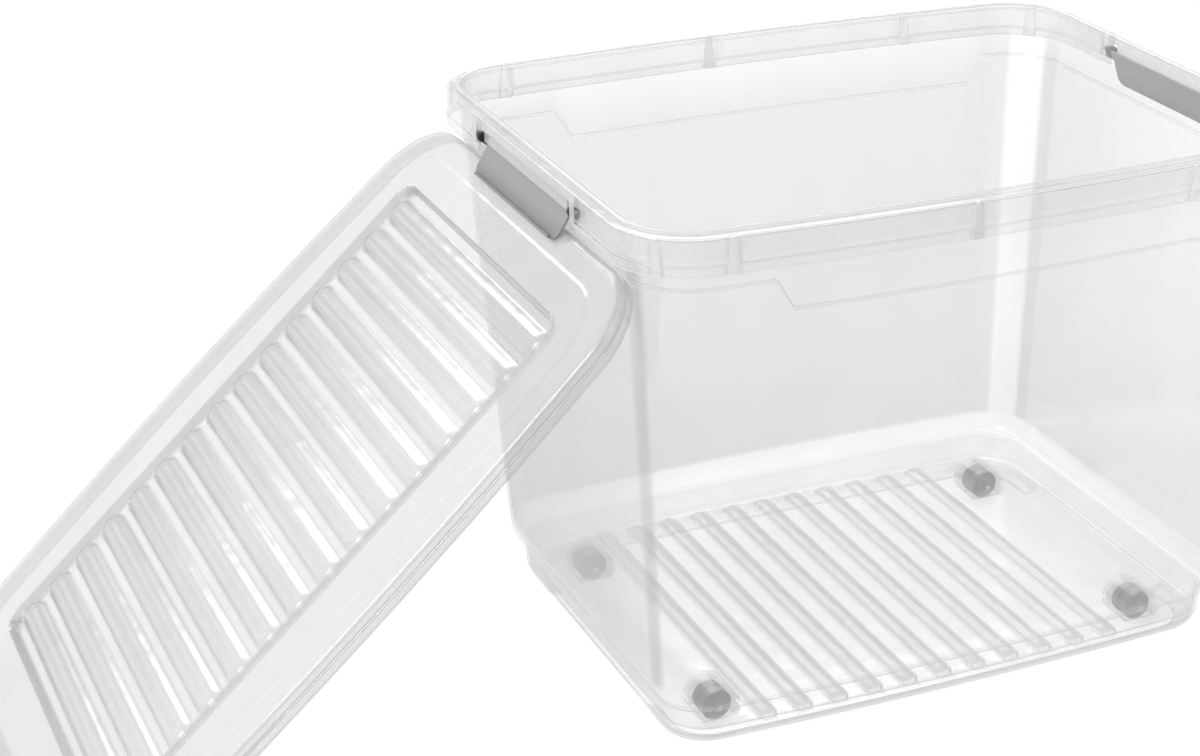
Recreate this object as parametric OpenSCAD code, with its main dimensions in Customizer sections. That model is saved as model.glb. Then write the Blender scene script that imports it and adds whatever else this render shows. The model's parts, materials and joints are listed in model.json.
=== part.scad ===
// Clear storage bin on rollers with two hinged clips. The lid is off and leans
// on the left end. Sizes are in millimetres, +X runs along the bin to the right,
// +Y to the back and +Z up. The rollers and the lid's lower edge stand on z = 0.

/* [Bin] */
// Length over the rim skirt
bin_length = 500; // [480:1:640]
// Width over the rim skirt at the ends of the long sides
bin_width = 385; // [360:1:440]
// Height of the rim above the floor
bin_height = 378; // [300:1:420]
// How far each long side bows outwards at mid length
side_bow = 7; // [0:0.5:10]
// Corner radius of the rim
corner_r = 44; // [36:1:60]
// Wall thickness of the bin and the lid
wall = 1.8; // [1.5:0.1:2.4]
// How far the walls lean in from the rim to the ledge
draft = 21.5; // [14:0.5:26]
// Height of the ledge above the floor
ledge_z = 30; // [28:1:40]
// How far the base is set in from the foot of the wall
ledge_in = 8.7; // [5:0.1:12]
// Radius of the bottom edge
foot_r = 10; // [8:0.5:11]
// Gap between the feet and the floor
foot_gap = 1.2; // [0.8:0.1:2]
// Width of the arch cut between the feet at each end
arch_w = 176; // [100:2:200]
// Height of the arch above the floor
arch_h = 9; // [6:0.5:9.5]
// Depth of the collar under the rim near the corners
collar_short = 39.5; // [36:0.5:50]
// Depth of the collar along the middle of the long sides
collar_long = 60; // [52:0.5:80]
// How far the collar stands out from the wall
collar_out = 1; // [0.5:0.1:1.4]

/* [Rim] */
// Distance of the skirt's outer face from the rim line
skirt_out = 8.5; // [8:0.1:10]
// Depth of the skirt below the rim
skirt_depth = 24; // [22:0.5:28]
// Drop from the rim to the shoulder that carries the lid
shoulder_drop = 3; // [2.5:0.1:4]
// Height of the proud band along the skirt's lower edge
band_h = 4.6; // [3:0.1:6]
// How far that band stands out
band_out = 1; // [0.6:0.1:1.2]
// Distance of the first rim rib from the end of the rim
rim_rib_first = 51.6; // [50:0.1:70]
// Pitch of the rim ribs on a long side
rim_rib_pitch = 162; // [120:1:170]
// Number of rim ribs on a long side
rim_rib_count = 3; // [1:1:3]
// Width of a rim rib at its foot
rim_rib_w = 8.8; // [6:0.1:10]
// How far a rim rib stands out from the skirt
rim_rib_out = 0.7; // [0.4:0.1:1]

/* [Floor] */
// Height of the floor's upper face
floor_z = 12; // [11.5:0.1:14]
// Thickness of the floor
floor_t = 2; // [1.8:0.1:2.4]
// Height of the floor ribs
floor_rib_h = 4; // [2:0.1:5]
// Width of a floor rib
floor_rib_w = 15.4; // [12:0.1:18]
// Pitch of the floor ribs
floor_rib_pitch = 26.7; // [24:0.1:34]
// Number of floor ribs
floor_rib_count = 11; // [3:1:11]
// Distance of the first floor rib from the left end of the rim
floor_rib_first = 100; // [98:1:110]
// Half length of a floor rib
floor_rib_half = 148; // [100:1:149]

/* [Rollers] */
// Roller radius
roller_r = 11; // [9:0.1:11.5]
// Roller width
roller_w = 20; // [14:0.5:22]
// Width of the groove between a roller's two treads
roller_groove = 3.6; // [2:0.1:5]
// Axle radius
axle_r = 2; // [1.5:0.1:2.5]
// Gap between roller and housing at the tread
roller_gap = 2; // [1.5:0.1:3]
// Gap between roller and housing at each side
roller_side_gap = 2.2; // [1:0.1:3]
// Distance of the roller axis from the end of the rim
roller_x = 74.6; // [70:0.1:80]
// Distance of the roller from the bin's centre line
roller_y = 109.7; // [104:0.1:112]
// Radial running clearance of axles and pins
pin_gap = 0.05; // [0.02:0.01:0.1]

/* [Clips] */
// Width of the clip plate
clip_w = 147; // [100:1:160]
// Reach of the clip from its axis to its hook
clip_reach = 23; // [21:0.5:24]
// Thickness of the clip plate
clip_t = 1.6; // [1.2:0.1:1.8]
// Distance from the clip's axis to the plate's near face
clip_offset = 2.9; // [2.6:0.1:3.2]
// Length of the hook that catches the lid
clip_hook = 4.1; // [3:0.1:4.4]
// Distance of the clip's axis outside the rim line
clip_axis_out = 6.5; // [6:0.1:7]
// Drop of the clip's axis below the rim
clip_axis_drop = 16; // [15:0.5:17]
// Angle at which a free clip hangs from the vertical
clip_hang = 17; // [0:1:20]
// Clip pin radius
clip_pin_r = 2; // [1.5:0.1:2.2]
// Width of the slot beside the tongue that the clip's ear works in
slot_w = 10; // [8:0.5:14]
// Height of that slot's top above the clip's axis
slot_rise = 6; // [5:0.5:8]
// Width of the lug that holds a clip pin
lug_w = 7.5; // [6:0.5:9]

/* [Lid] */
// Depth of the lid's rim
lid_depth = 15; // [13.5:0.5:18]
// Thickness of the lid's skin
lid_t = 2; // [1.6:0.1:2.4]
// Width of the lower border round the lid's plateau
lid_border = 19; // [14:0.5:24]
// Height of the plateau above that border
lid_plateau = 1; // [0.6:0.1:1.4]
// Half width of the ribbed panel
panel_half_w = 140; // [100:1:146]
// Distance of the ribbed panel from the lid's ends
panel_end = 46; // [42:1:60]
// Depth of the panel below the plateau
panel_depth = 6; // [4:0.1:6.5]
// Height of the panel's ribs
panel_rib_h = 4.5; // [2:0.1:4.8]
// Width of a panel rib
panel_rib_w = 19.6; // [14:0.1:21]
// Pitch of the panel ribs
panel_rib_pitch = 26.4; // [24:0.1:32]
// Number of panel ribs
panel_rib_count = 15; // [3:1:15]
// Drop of the leaning lid's upper edge below the rim skirt
lid_tuck = 6; // [3:0.5:12]
// Gap between the leaning lid and what it touches
lean_gap = 0.4; // [0.3:0.1:1]

/* [Hidden] */
clear_colour = [0.90, 0.92, 0.93, 0.45];
clip_colour = [0.56, 0.57, 0.58];
roller_colour = [0.42, 0.43, 0.44];
axle_colour = [0.72, 0.73, 0.74];
big = 1000;
eps = 0.02;

// Rim line: half sizes of the rounded rectangle that the rim's lip follows
rim_a = bin_length/2 - skirt_out;
rim_b = bin_width/2 - skirt_out;
corner_shrink = 0.41;
bow_fade = 90;

// Stations round the rim, each [share of the straight length, share of the
// straight width, angle of the outward normal]
corner_steps = 6;
collar_jog = 83;
collar_slant = 12;
straight_a = rim_a - corner_r;
jog_far = (collar_jog - corner_r)/straight_a - 1;
jog_near = (collar_jog + collar_slant - corner_r)/straight_a - 1;
jog_right = 1 - collar_slant/straight_a;
side_shares = [-1, jog_far, jog_near, -0.5, -0.25, 0, 0.25, 0.5, 0.75, jog_right, 1];
end_shares = [-1, 0, 1];
function reversed(v) = [for (i = [len(v) - 1:-1:0]) v[i]];
function corner(cx, cy, start) = [
  for (i = [1:corner_steps - 1]) [cx, cy, start + 90*i/corner_steps]
];
stations = concat(
  [for (s = side_shares) [s, -1, -90]], corner(1, -1, -90),
  [for (s = end_shares) [1, s, 0]], corner(1, 1, 0),
  [for (s = reversed(side_shares)) [s, 1, 90]], corner(-1, 1, 90),
  [for (s = reversed(end_shares)) [-1, s, 180]], corner(-1, -1, 180)
);

// Point of a rounded, bowed rectangle at one station, set in by inset
function radius_at(inset, r) = inset < 0 ? r - inset : r - corner_shrink*inset;
function bow_at(inset) = side_bow*(1 - max(inset, 0)/bow_fade);
function outline_point(st, inset, a, b, r) =
  let (ri = radius_at(inset, r))
  let (bow = bow_at(inset)*(1 - st[0]*st[0]))
  [st[0]*(a - inset - ri) + ri*cos(st[2]),
   st[1]*(b - inset - ri) + (ri + bow)*sin(st[2])];
function outline(inset, a, b, r) = [for (st = stations) outline_point(st, inset, a, b, r)];

// Depth of the collar at a station: deep along the middle of the long sides
function on_middle(st) = abs(st[1]) == 1 && st[0] > jog_near - eps && st[0] < jog_right + eps;
function collar_at(st) = on_middle(st) && abs(abs(st[2]) - 90) < eps ? collar_long : collar_short;

// Bin wall: how far its outer face is set in at height z
wall_top_z = bin_height - shoulder_drop - lid_t;
wall_foot_z = ledge_z + 16;
wall_top_in = 1;
function wall_in(z) = wall_top_in + draft*(wall_top_z - z)/(wall_top_z - wall_foot_z);
wall_foot_in = wall_in(wall_foot_z);
base_in = wall_foot_in + ledge_in;
floor_under = floor_z - floor_t;
foot_centre_z = foot_gap + foot_r;
foot_centre_in = base_in + 0.7 + foot_r;
floor_join_in = foot_centre_in + 4;
foot_flat = 2.6;
lip_w = 3.5;
lip_out = 1.6;
band_z = bin_height - skirt_depth + band_h;
skirt_in = -skirt_out;
upper_in = skirt_in + band_out;

// Closed section of the bin at a station, as [inset, height] pairs: the lip, the
// shoulder and skirt, down the outside, under the foot, and up the inside
function bin_section(st) =
  let (zs = bin_height - collar_at(st))
  [
    [lip_w - lip_out, bin_height - 1.4],
    [lip_w/2 - lip_out + 0.8, bin_height - 0.2],
    [lip_w/2 - lip_out - 0.8, bin_height - 0.2],
    [-lip_out, bin_height - 1.4],
    [-lip_out, bin_height - shoulder_drop],
    [upper_in + 0.7, bin_height - shoulder_drop],
    [upper_in, bin_height - shoulder_drop - 0.8],
    [upper_in, band_z + 0.6],
    [skirt_in, band_z],
    [skirt_in, bin_height - skirt_depth],
    [skirt_in + wall, bin_height - skirt_depth],
    [skirt_in + wall, band_z - 0.8],
    [upper_in + wall, band_z],
    [upper_in + wall, wall_top_z],
    [wall_top_in - collar_out, wall_top_z],
    [wall_in(zs) - collar_out, zs],
    [wall_in(zs - 1.2), zs - 1.2],
    [wall_foot_in, wall_foot_z],
    [wall_foot_in + 0.12*ledge_in, ledge_z + 9],
    [wall_foot_in + 0.36*ledge_in, ledge_z + 3.6],
    [wall_foot_in + 0.68*ledge_in, ledge_z + 0.8],
    [base_in, ledge_z - 0.2],
    [base_in + 0.7, foot_centre_z],
    for (t = [30, 60]) [foot_centre_in - foot_r*cos(t), foot_centre_z - foot_r*sin(t)],
    [foot_centre_in, foot_gap],
    [foot_centre_in + foot_flat, foot_gap],
    [foot_centre_in + foot_flat, foot_gap + wall],
    [foot_centre_in, foot_gap + wall],
    for (t = [60, 30]) [foot_centre_in - (foot_r - wall)*cos(t), foot_centre_z - (foot_r - wall)*sin(t)],
    [base_in + 0.7 + wall, floor_under],
    [floor_join_in, floor_under],
    [floor_join_in, floor_z],
    [base_in + wall + 5, floor_z],
    [base_in + wall + 2.1, floor_z + 1.4],
    [base_in + wall + 0.6, floor_z + 5],
    [base_in + wall, ledge_z - 1.6],
    [base_in + wall - 1.4, ledge_z + 0.9],
    [wall_foot_in + 0.5*ledge_in + wall - 0.2, ledge_z + 3.6],
    [wall_foot_in + 0.2*ledge_in + wall, ledge_z + 9],
    [wall_foot_in + wall, wall_foot_z],
    [wall_in(zs - 1.2) + wall, zs - 0.8],
    [wall_in(zs) - collar_out + wall, zs + 0.4],
    [lip_w - lip_out, wall_top_z],
  ];

// Closed section of the lid's rim as [inset, height] pairs, from its lower
// outer edge over the border and plateau and back along the underside
plateau_in = lid_border + 2;
lid_join_in = lid_border + 21;
function lid_section() = [
  [0, -lid_depth],
  [0, -0.6*lid_depth],
  [0.9, -0.56*lid_depth],
  [0.9, -lid_plateau - 4],
  [lid_edge_in, -lid_plateau - lid_edge_in],
  [3.3, -lid_plateau - 0.4],
  [5.6, -lid_plateau],
  [lid_border, -lid_plateau],
  [plateau_in, 0],
  [lid_join_in, 0],
  [lid_join_in, -lid_t],
  [plateau_in, -lid_t],
  [lid_border, -lid_plateau - lid_t],
  [6.4, -lid_plateau - lid_t],
  [4.4, -lid_plateau - lid_t - 0.8],
  [0.9 + wall, -lid_plateau - 5],
  [0.9 + wall, -0.6*lid_depth],
  [wall, -0.66*lid_depth],
  [wall, -lid_depth],
];

// Ring-shaped solid: one closed section per station, joined all the way round
module loft(sections, a, b, r) {
  n = len(sections[0]);
  m = len(stations);
  points = [
    for (k = [0:m - 1])
      for (p = sections[k])
        let (q = outline_point(stations[k], p[0], a, b, r)) [q[0], q[1], p[1]]
  ];
  faces = [
    for (k = [0:m - 1])
      for (j = [0:n - 1])
        let (k2 = (k + 1)%m)
        let (j2 = (j + 1)%n)
        each [[k*n + j, k2*n + j, k2*n + j2], [k*n + j, k2*n + j2, k*n + j2]]
  ];
  polyhedron(points, faces, convexity = 10);
}

// Slab with rounded upright corners, centred on the origin, from z = 0 up
module rounded_slab(size_x, size_y, h, r) {
  translate([-size_x/2 + r, -size_y/2, 0]) cube([size_x - 2*r, size_y, h]);
  translate([-size_x/2, -size_y/2 + r, 0]) cube([size_x, size_y - 2*r, h]);
  for (sx = [-1, 1])
    for (sy = [-1, 1])
      translate([sx*(size_x/2 - r), sy*(size_y/2 - r), 0]) cylinder(r = r, h = h, $fn = 32);
}

// Row of ribs across the part: round backs that rise above a flat face at z = 0,
// with rounded ends. The radius of a back follows from its width and height
function back_radius(w, h) = (w*w/4 + h*h)/(2*h);
module rib_backs(count, pitch, half, w, h, shrink = 0) {
  full = back_radius(w, h);
  end_r = w/2 - shrink;
  straight = half - w/2;
  for (i = [0:count - 1])
    translate([i*pitch, 0, h - full])
      intersection() {
        rotate([90, 0, 0]) cylinder(r = full - shrink, h = 2*half, center = true, $fn = 48);
        union() {
          cube([2*end_r, 2*straight, 2*full], center = true);
          for (s = [-1, 1])
            translate([0, s*straight, 0]) cylinder(r = end_r, h = 2*full, center = true, $fn = 32);
        }
      }
}

// Part of the children above z = level
module above(level) {
  intersection() {
    union() children();
    translate([-big/2, -big/2, level]) cube(big);
  }
}

/* Clips: places in the bin's own frame, centred on the bin */
clip_axis_x = rim_a + clip_axis_out;
clip_axis_z = bin_height - clip_axis_drop;
tongue_half = clip_w/2 + 0.5;
slot_half = tongue_half + slot_w;
ear_in = slot_half - 4.6;
ear_out = slot_half - 0.8;
ear_r = clip_pin_r + 1.4;
pin_end = slot_half + lug_w - 2;
lug_half = slot_half + lug_w;
tongue_z = clip_axis_z - 1;
clip_sweep = sqrt(pow(clip_reach, 2) + pow(clip_offset + clip_t, 2));

/* Rollers: places in the bin's own frame */
housing_r = roller_r + roller_gap + wall + 0.2;
housing_half = roller_w/2 + roller_side_gap + wall + 0.2;
cavity_half = roller_w/2 + roller_side_gap;
roller_at_x = rim_a - roller_x;
roller_z = roller_r;

/* Leaning lid: its upper end touches the end wall just under the rim skirt */
lid_a = bin_length/2;
lid_b = bin_width/2;
lid_r = corner_r + skirt_out;
lid_top_z = bin_height - skirt_depth - lid_tuck;
lean = acos(lid_top_z/sqrt(pow(bin_length, 2) + pow(lid_depth, 2))) + atan(lid_depth/bin_length);
lid_heel_z = lid_top_z - lid_depth*sin(lean);
lid_top_x = -(rim_a - wall_in(lid_heel_z) + lean_gap) - lid_depth*cos(lean);
lid_foot_x = lid_top_x - bin_length*sin(lean);

/* The left clip lies on the lid's border, and the right one hangs free */
axis_over_lid = sin(lean)*(clip_axis_z - lid_top_z) + cos(lean)*(clip_axis_x + lid_top_x) + lid_plateau;
clip_rest = lean - asin((axis_over_lid - lean_gap)/clip_sweep) + atan((clip_offset + clip_t)/clip_reach);

// The whole object, from the lid's foot to the right clip, is centred over the origin
lid_edge_in = 1.7;
lid_left_x = lid_foot_x + lid_edge_in*sin(lean) + (lid_plateau + lid_edge_in)*cos(lean);
hook_in = clip_offset + clip_t - clip_hook;
clip_right_x = clip_axis_x + clip_reach*sin(clip_hang) - hook_in*cos(clip_hang);
object_x = -(lid_left_x + clip_right_x)/2;

/* Bin body */
module rim_rib() {
  h = skirt_depth - shoulder_drop;
  top_w = 0.64*rim_rib_w;
  depth = wall + band_out + rim_rib_out;
  translate([0, 0, bin_height - skirt_depth]) rotate([90, 0, 0]) {
    translate([0, 0, -depth]) linear_extrude(depth)
      polygon([[-rim_rib_w/2, 0], [rim_rib_w/2, 0], [top_w/2, h - top_w/2], [-top_w/2, h - top_w/2]]);
    translate([0, h - top_w/2, -depth]) cylinder(r = top_w/2, h = depth, $fn = 32);
  }
}

module rim_ribs() {
  proud = skirt_out + rim_rib_out;
  for (side = [0, 180])
    for (i = [0:rim_rib_count - 1])
      let (x = rim_rib_first + i*rim_rib_pitch - rim_a)
      let (share = x/straight_a)
      rotate([0, 0, side])
        translate([side == 0 ? x : -x, -(rim_b + side_bow*(1 - share*share) + proud), 0])
          rim_rib();
  for (sx = [-1, 1])
    for (sy = [-1, 1])
      translate([sx*(rim_a - corner_r), sy*(rim_b - corner_r), 0])
        rotate([0, 0, atan2(sy, sx) + 90]) translate([0, -(corner_r + proud), 0]) rim_rib();
}

module clip_lugs() {
  depth = skirt_out + 1.2 - 2.5;
  bottom = clip_axis_z - clip_pin_r - 2.4;
  for (end = [-1, 1])
    for (sy = [-1, 1])
      translate([end*(rim_a + 2.5 + depth/2), sy*(slot_half + lug_half)/2, (bottom + wall_top_z + 1)/2])
        cube([depth, lug_w, wall_top_z + 1 - bottom], center = true);
}

module clip_cuts() {
  skirt_bottom = bin_height - skirt_depth;
  for (end = [-1, 1]) {
    translate([end*(rim_a + 7), 0, tongue_z - 10]) cube([6, 2*slot_half, 20], center = true);
    for (sy = [-1, 1]) {
      translate([end*(rim_a + 7), sy*(tongue_half + slot_w/2), clip_axis_z + slot_rise - 20])
        cube([6, slot_w, 40], center = true);
      translate([end*clip_axis_x, sy*slot_half, clip_axis_z])
        rotate([-90*sy, 0, 0]) cylinder(r = clip_pin_r + pin_gap, h = lug_w - 1.4, $fn = 48);
    }
  }
}

module at_rollers() {
  for (end = [-1, 1])
    for (sy = [-1, 1])
      translate([end*roller_at_x, sy*roller_y, roller_z]) children();
}

module roller_housings() {
  above(foot_gap + 2) at_rollers() rotate([90, 0, 0])
    cylinder(r = housing_r, h = 2*housing_half, center = true, $fn = 64);
}

module roller_cuts() {
  at_rollers() rotate([90, 0, 0]) {
    cylinder(r = roller_r + roller_gap, h = 2*cavity_half, center = true, $fn = 64);
    cylinder(r = axle_r + pin_gap, h = 2*housing_half + 2, center = true, $fn = 48);
  }
}

module bin_floor() {
  translate([0, 0, floor_under]) linear_extrude(floor_t)
    polygon(outline(floor_join_in - 1.5, rim_a, rim_b, corner_r));
}

module floor_ribs(shrink) {
  translate([floor_rib_first - rim_a, 0, floor_z])
    rib_backs(floor_rib_count, floor_rib_pitch, floor_rib_half, floor_rib_w, floor_rib_h, shrink);
}

module foot_arches() {
  for (end = [-1, 1])
    translate([end*(rim_a - base_in - foot_r/2), 0, 0])
      cube([2*foot_r + 4*foot_flat, arch_w, 2*arch_h], center = true);
}

module bin_body() {
  sections = [for (st = stations) bin_section(st)];
  color(clear_colour) difference() {
    union() {
      difference() {
        loft(sections, rim_a, rim_b, corner_r);
        clip_cuts();
        foot_arches();
      }
      bin_floor();
      above(floor_under) floor_ribs(0);
      roller_housings();
      rim_ribs();
      difference() {
        clip_lugs();
        clip_cuts();
      }
    }
    above(floor_under - 1) floor_ribs(floor_t);
    roller_cuts();
  }
}

/* Lid, built flat: its upper face is z = 0 and its upper end is x = 0 */
module panel_ribs(shrink) {
  span = (panel_rib_count - 1)*panel_rib_pitch;
  translate([-span/2, 0, -panel_depth])
    rib_backs(panel_rib_count, panel_rib_pitch, panel_half_w - 3, panel_rib_w, panel_rib_h, shrink);
}

module lid_flat() {
  panel_x = bin_length - 2*panel_end;
  pad = 2.4;
  catch_in = 2.2;
  catch_half = tongue_half + 2;
  difference() {
    union() {
      loft([for (st = stations) reversed(lid_section())], lid_a, lid_b, lid_r);
      difference() {
        translate([0, 0, -lid_t]) linear_extrude(lid_t)
          polygon(outline(lid_join_in - 2, lid_a, lid_b, lid_r));
        translate([0, 0, -2*lid_t]) rounded_slab(panel_x, 2*panel_half_w, 4*lid_t, 14);
      }
      difference() {
        translate([0, 0, -panel_depth - lid_t])
          rounded_slab(panel_x + 2*lid_t, 2*(panel_half_w + lid_t), panel_depth + lid_t - 0.5, 14 + lid_t);
        translate([0, 0, -panel_depth]) rounded_slab(panel_x, 2*panel_half_w, big, 14);
      }
      above(-panel_depth - lid_t) panel_ribs(0);
      for (end = [-1, 1])
        translate([end*(lid_a - wall - pad/2), 0, -lid_depth/2 - 1])
          cube([pad + 0.4, 2*catch_half + 8, lid_depth - 2], center = true);
    }
    above(-panel_depth - lid_t - 1) panel_ribs(lid_t);
    for (end = [-1, 1])
      translate([end*lid_a, 0, 0]) cube([2*catch_in, 2*catch_half, 14], center = true);
  }
}

module lid() {
  color(clear_colour)
    translate([lid_top_x, 0, lid_top_z]) rotate([0, lean - 90, 0])
      translate([-lid_a, 0, 0]) lid_flat();
}

/* Clip, hanging upright at the left end, with its axis on the Y axis */
module clip_hanging() {
  near = clip_offset;
  corner = 7;
  difference() {
    translate([near, -clip_w/2, -clip_reach]) cube([clip_t, clip_w, clip_reach + 3]);
    for (sy = [-1, 1])
      translate([near - 1, sy*clip_w/2, -clip_reach]) rotate([0, 90, 0])
        difference() {
          cube([2*corner, 2*corner, 2*clip_t + 4], center = true);
          translate([-corner, -sy*corner, 0]) cylinder(r = corner, h = 4*clip_t + 9, center = true, $fn = 48);
        }
  }
  translate([near + clip_t - clip_hook, -clip_w/2 + corner, -clip_reach])
    cube([clip_hook, clip_w - 2*corner, clip_t]);
  translate([near, -ear_out, -3.4]) cube([clip_t, 2*ear_out, 6.4]);
  for (sy = [-1, 1]) {
    translate([0, sy*(ear_in + ear_out)/2, 0]) rotate([90, 0, 0])
      cylinder(r = ear_r, h = ear_out - ear_in, center = true, $fn = 48);
    translate([0, sy*(ear_out + pin_end)/2 - sy*0.5, 0]) rotate([90, 0, 0])
      cylinder(r = clip_pin_r, h = pin_end - ear_out + 1, center = true, $fn = 48);
  }
}

module clip(end) {
  color(clip_colour)
    mirror([end > 0 ? 1 : 0, 0, 0])
      translate([-clip_axis_x, 0, clip_axis_z])
        rotate([0, end > 0 ? clip_hang : clip_rest, 0]) clip_hanging();
}

/* Roller and axle */
module roller() {
  side = roller_w/2;
  edge = 1.6;
  groove = roller_groove/2;
  deep = roller_r - 2.6;
  color(roller_colour) rotate([90, 0, 0]) rotate_extrude($fn = 72)
    polygon([
      [axle_r + pin_gap, -side],
      [axle_r + 2.2, -side],
      [axle_r + 2.2, -side + 1.2],
      [roller_r - 3.4, -side + 1.2],
      [roller_r - edge, -side + 0.6],
      [roller_r, -side + 0.6 + edge],
      [roller_r, -groove - 0.8],
      [roller_r - 0.8, -groove],
      [deep, -groove],
      [deep, groove],
      [roller_r - 0.8, groove],
      [roller_r, groove + 0.8],
      [roller_r, side - 0.6 - edge],
      [roller_r - edge, side - 0.6],
      [roller_r - 3.4, side - 1.2],
      [axle_r + 2.2, side - 1.2],
      [axle_r + 2.2, side],
      [axle_r + pin_gap, side],
    ]);
}

module axle() {
  color(axle_colour) rotate([90, 0, 0])
    cylinder(r = axle_r, h = 2*housing_half - 0.2, center = true, $fn = 48);
}

module roller_place(end, sy) {
  translate([end*roller_at_x, sy*roller_y, roller_z]) children();
}

translate([object_x, 0, 0]) {
  bin_body();
  lid();
  clip(-1);  // clip_left
  clip(1);  // clip_right
  roller_place(-1, -1) roller();  // roller_front_left
  roller_place(-1, 1) roller();  // roller_back_left
  roller_place(1, -1) roller();  // roller_front_right
  roller_place(1, 1) roller();  // roller_back_right
  roller_place(-1, -1) axle();  // axle_front_left
  roller_place(-1, 1) axle();  // axle_back_left
  roller_place(1, -1) axle();  // axle_front_right
  roller_place(1, 1) axle();  // axle_back_right
}
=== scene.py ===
"""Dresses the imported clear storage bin, its leaning lid, clips and rollers, and lights them."""

from __future__ import annotations

import json
import logging
import math
from collections.abc import Callable, Iterable, Iterator, Sequence
from contextlib import contextmanager
from dataclasses import dataclass, field
from enum import Enum

import bmesh
import bpy
import numpy as np
from mathutils import Matrix, Vector


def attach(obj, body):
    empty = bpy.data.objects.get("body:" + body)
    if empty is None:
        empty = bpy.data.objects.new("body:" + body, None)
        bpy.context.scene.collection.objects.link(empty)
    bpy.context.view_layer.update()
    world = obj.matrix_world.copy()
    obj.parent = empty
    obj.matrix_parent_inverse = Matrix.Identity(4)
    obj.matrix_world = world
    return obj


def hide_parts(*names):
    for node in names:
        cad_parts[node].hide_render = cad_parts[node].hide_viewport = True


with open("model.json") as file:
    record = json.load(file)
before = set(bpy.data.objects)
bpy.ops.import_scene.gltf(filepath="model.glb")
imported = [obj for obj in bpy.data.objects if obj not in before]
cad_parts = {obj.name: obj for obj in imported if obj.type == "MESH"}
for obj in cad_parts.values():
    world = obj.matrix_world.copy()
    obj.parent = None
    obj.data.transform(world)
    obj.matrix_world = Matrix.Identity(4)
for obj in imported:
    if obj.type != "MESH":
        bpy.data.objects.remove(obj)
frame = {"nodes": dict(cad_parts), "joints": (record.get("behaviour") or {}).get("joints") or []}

LOG = logging.getLogger("storage_bin")
MM = 0.001
CREASE = "crease"
HAZE_AND_SHADE = "haze_and_shade"
PLASTIC_IOR = 1.49
HOLE_SIDES = 32
BOTH = (-1, 1)

Point2 = tuple[float, float]
Point3 = tuple[float, float, float]
Corner = tuple[float, float, float]
Station = tuple[float, float, float]
Face = tuple[int, ...]


# ---------------------------------------------------------------- shader maths


class Wire:
    """A shader output that takes part in Python arithmetic."""

    def __init__(self, bench: Bench, socket: bpy.types.NodeSocket) -> None:
        """Wraps a socket.

        Args:
            bench: The node tree that the socket is in.
            socket: The output socket.
        """
        self.bench = bench
        self.socket = socket

    def _combine(self, operation: str, first: Value, second: Value) -> Wire:
        """Adds one Math node and returns its output."""
        return self.bench.add("ShaderNodeMath", {"operation": operation}, {0: first, 1: second})

    def __add__(self, other: Value) -> Wire:
        """Returns self + other."""
        return self._combine("ADD", self, other)

    __radd__ = __add__

    def __sub__(self, other: Value) -> Wire:
        """Returns self - other."""
        return self._combine("SUBTRACT", self, other)

    def __rsub__(self, other: Value) -> Wire:
        """Returns other - self."""
        return self._combine("SUBTRACT", other, self)

    def __mul__(self, other: Value) -> Wire:
        """Returns self * other."""
        return self._combine("MULTIPLY", self, other)

    __rmul__ = __mul__

    def __pow__(self, other: Value) -> Wire:
        """Returns self to the power of other."""
        return self._combine("POWER", self, other)


Value = Wire | float
Colour = Wire | Point3


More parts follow.
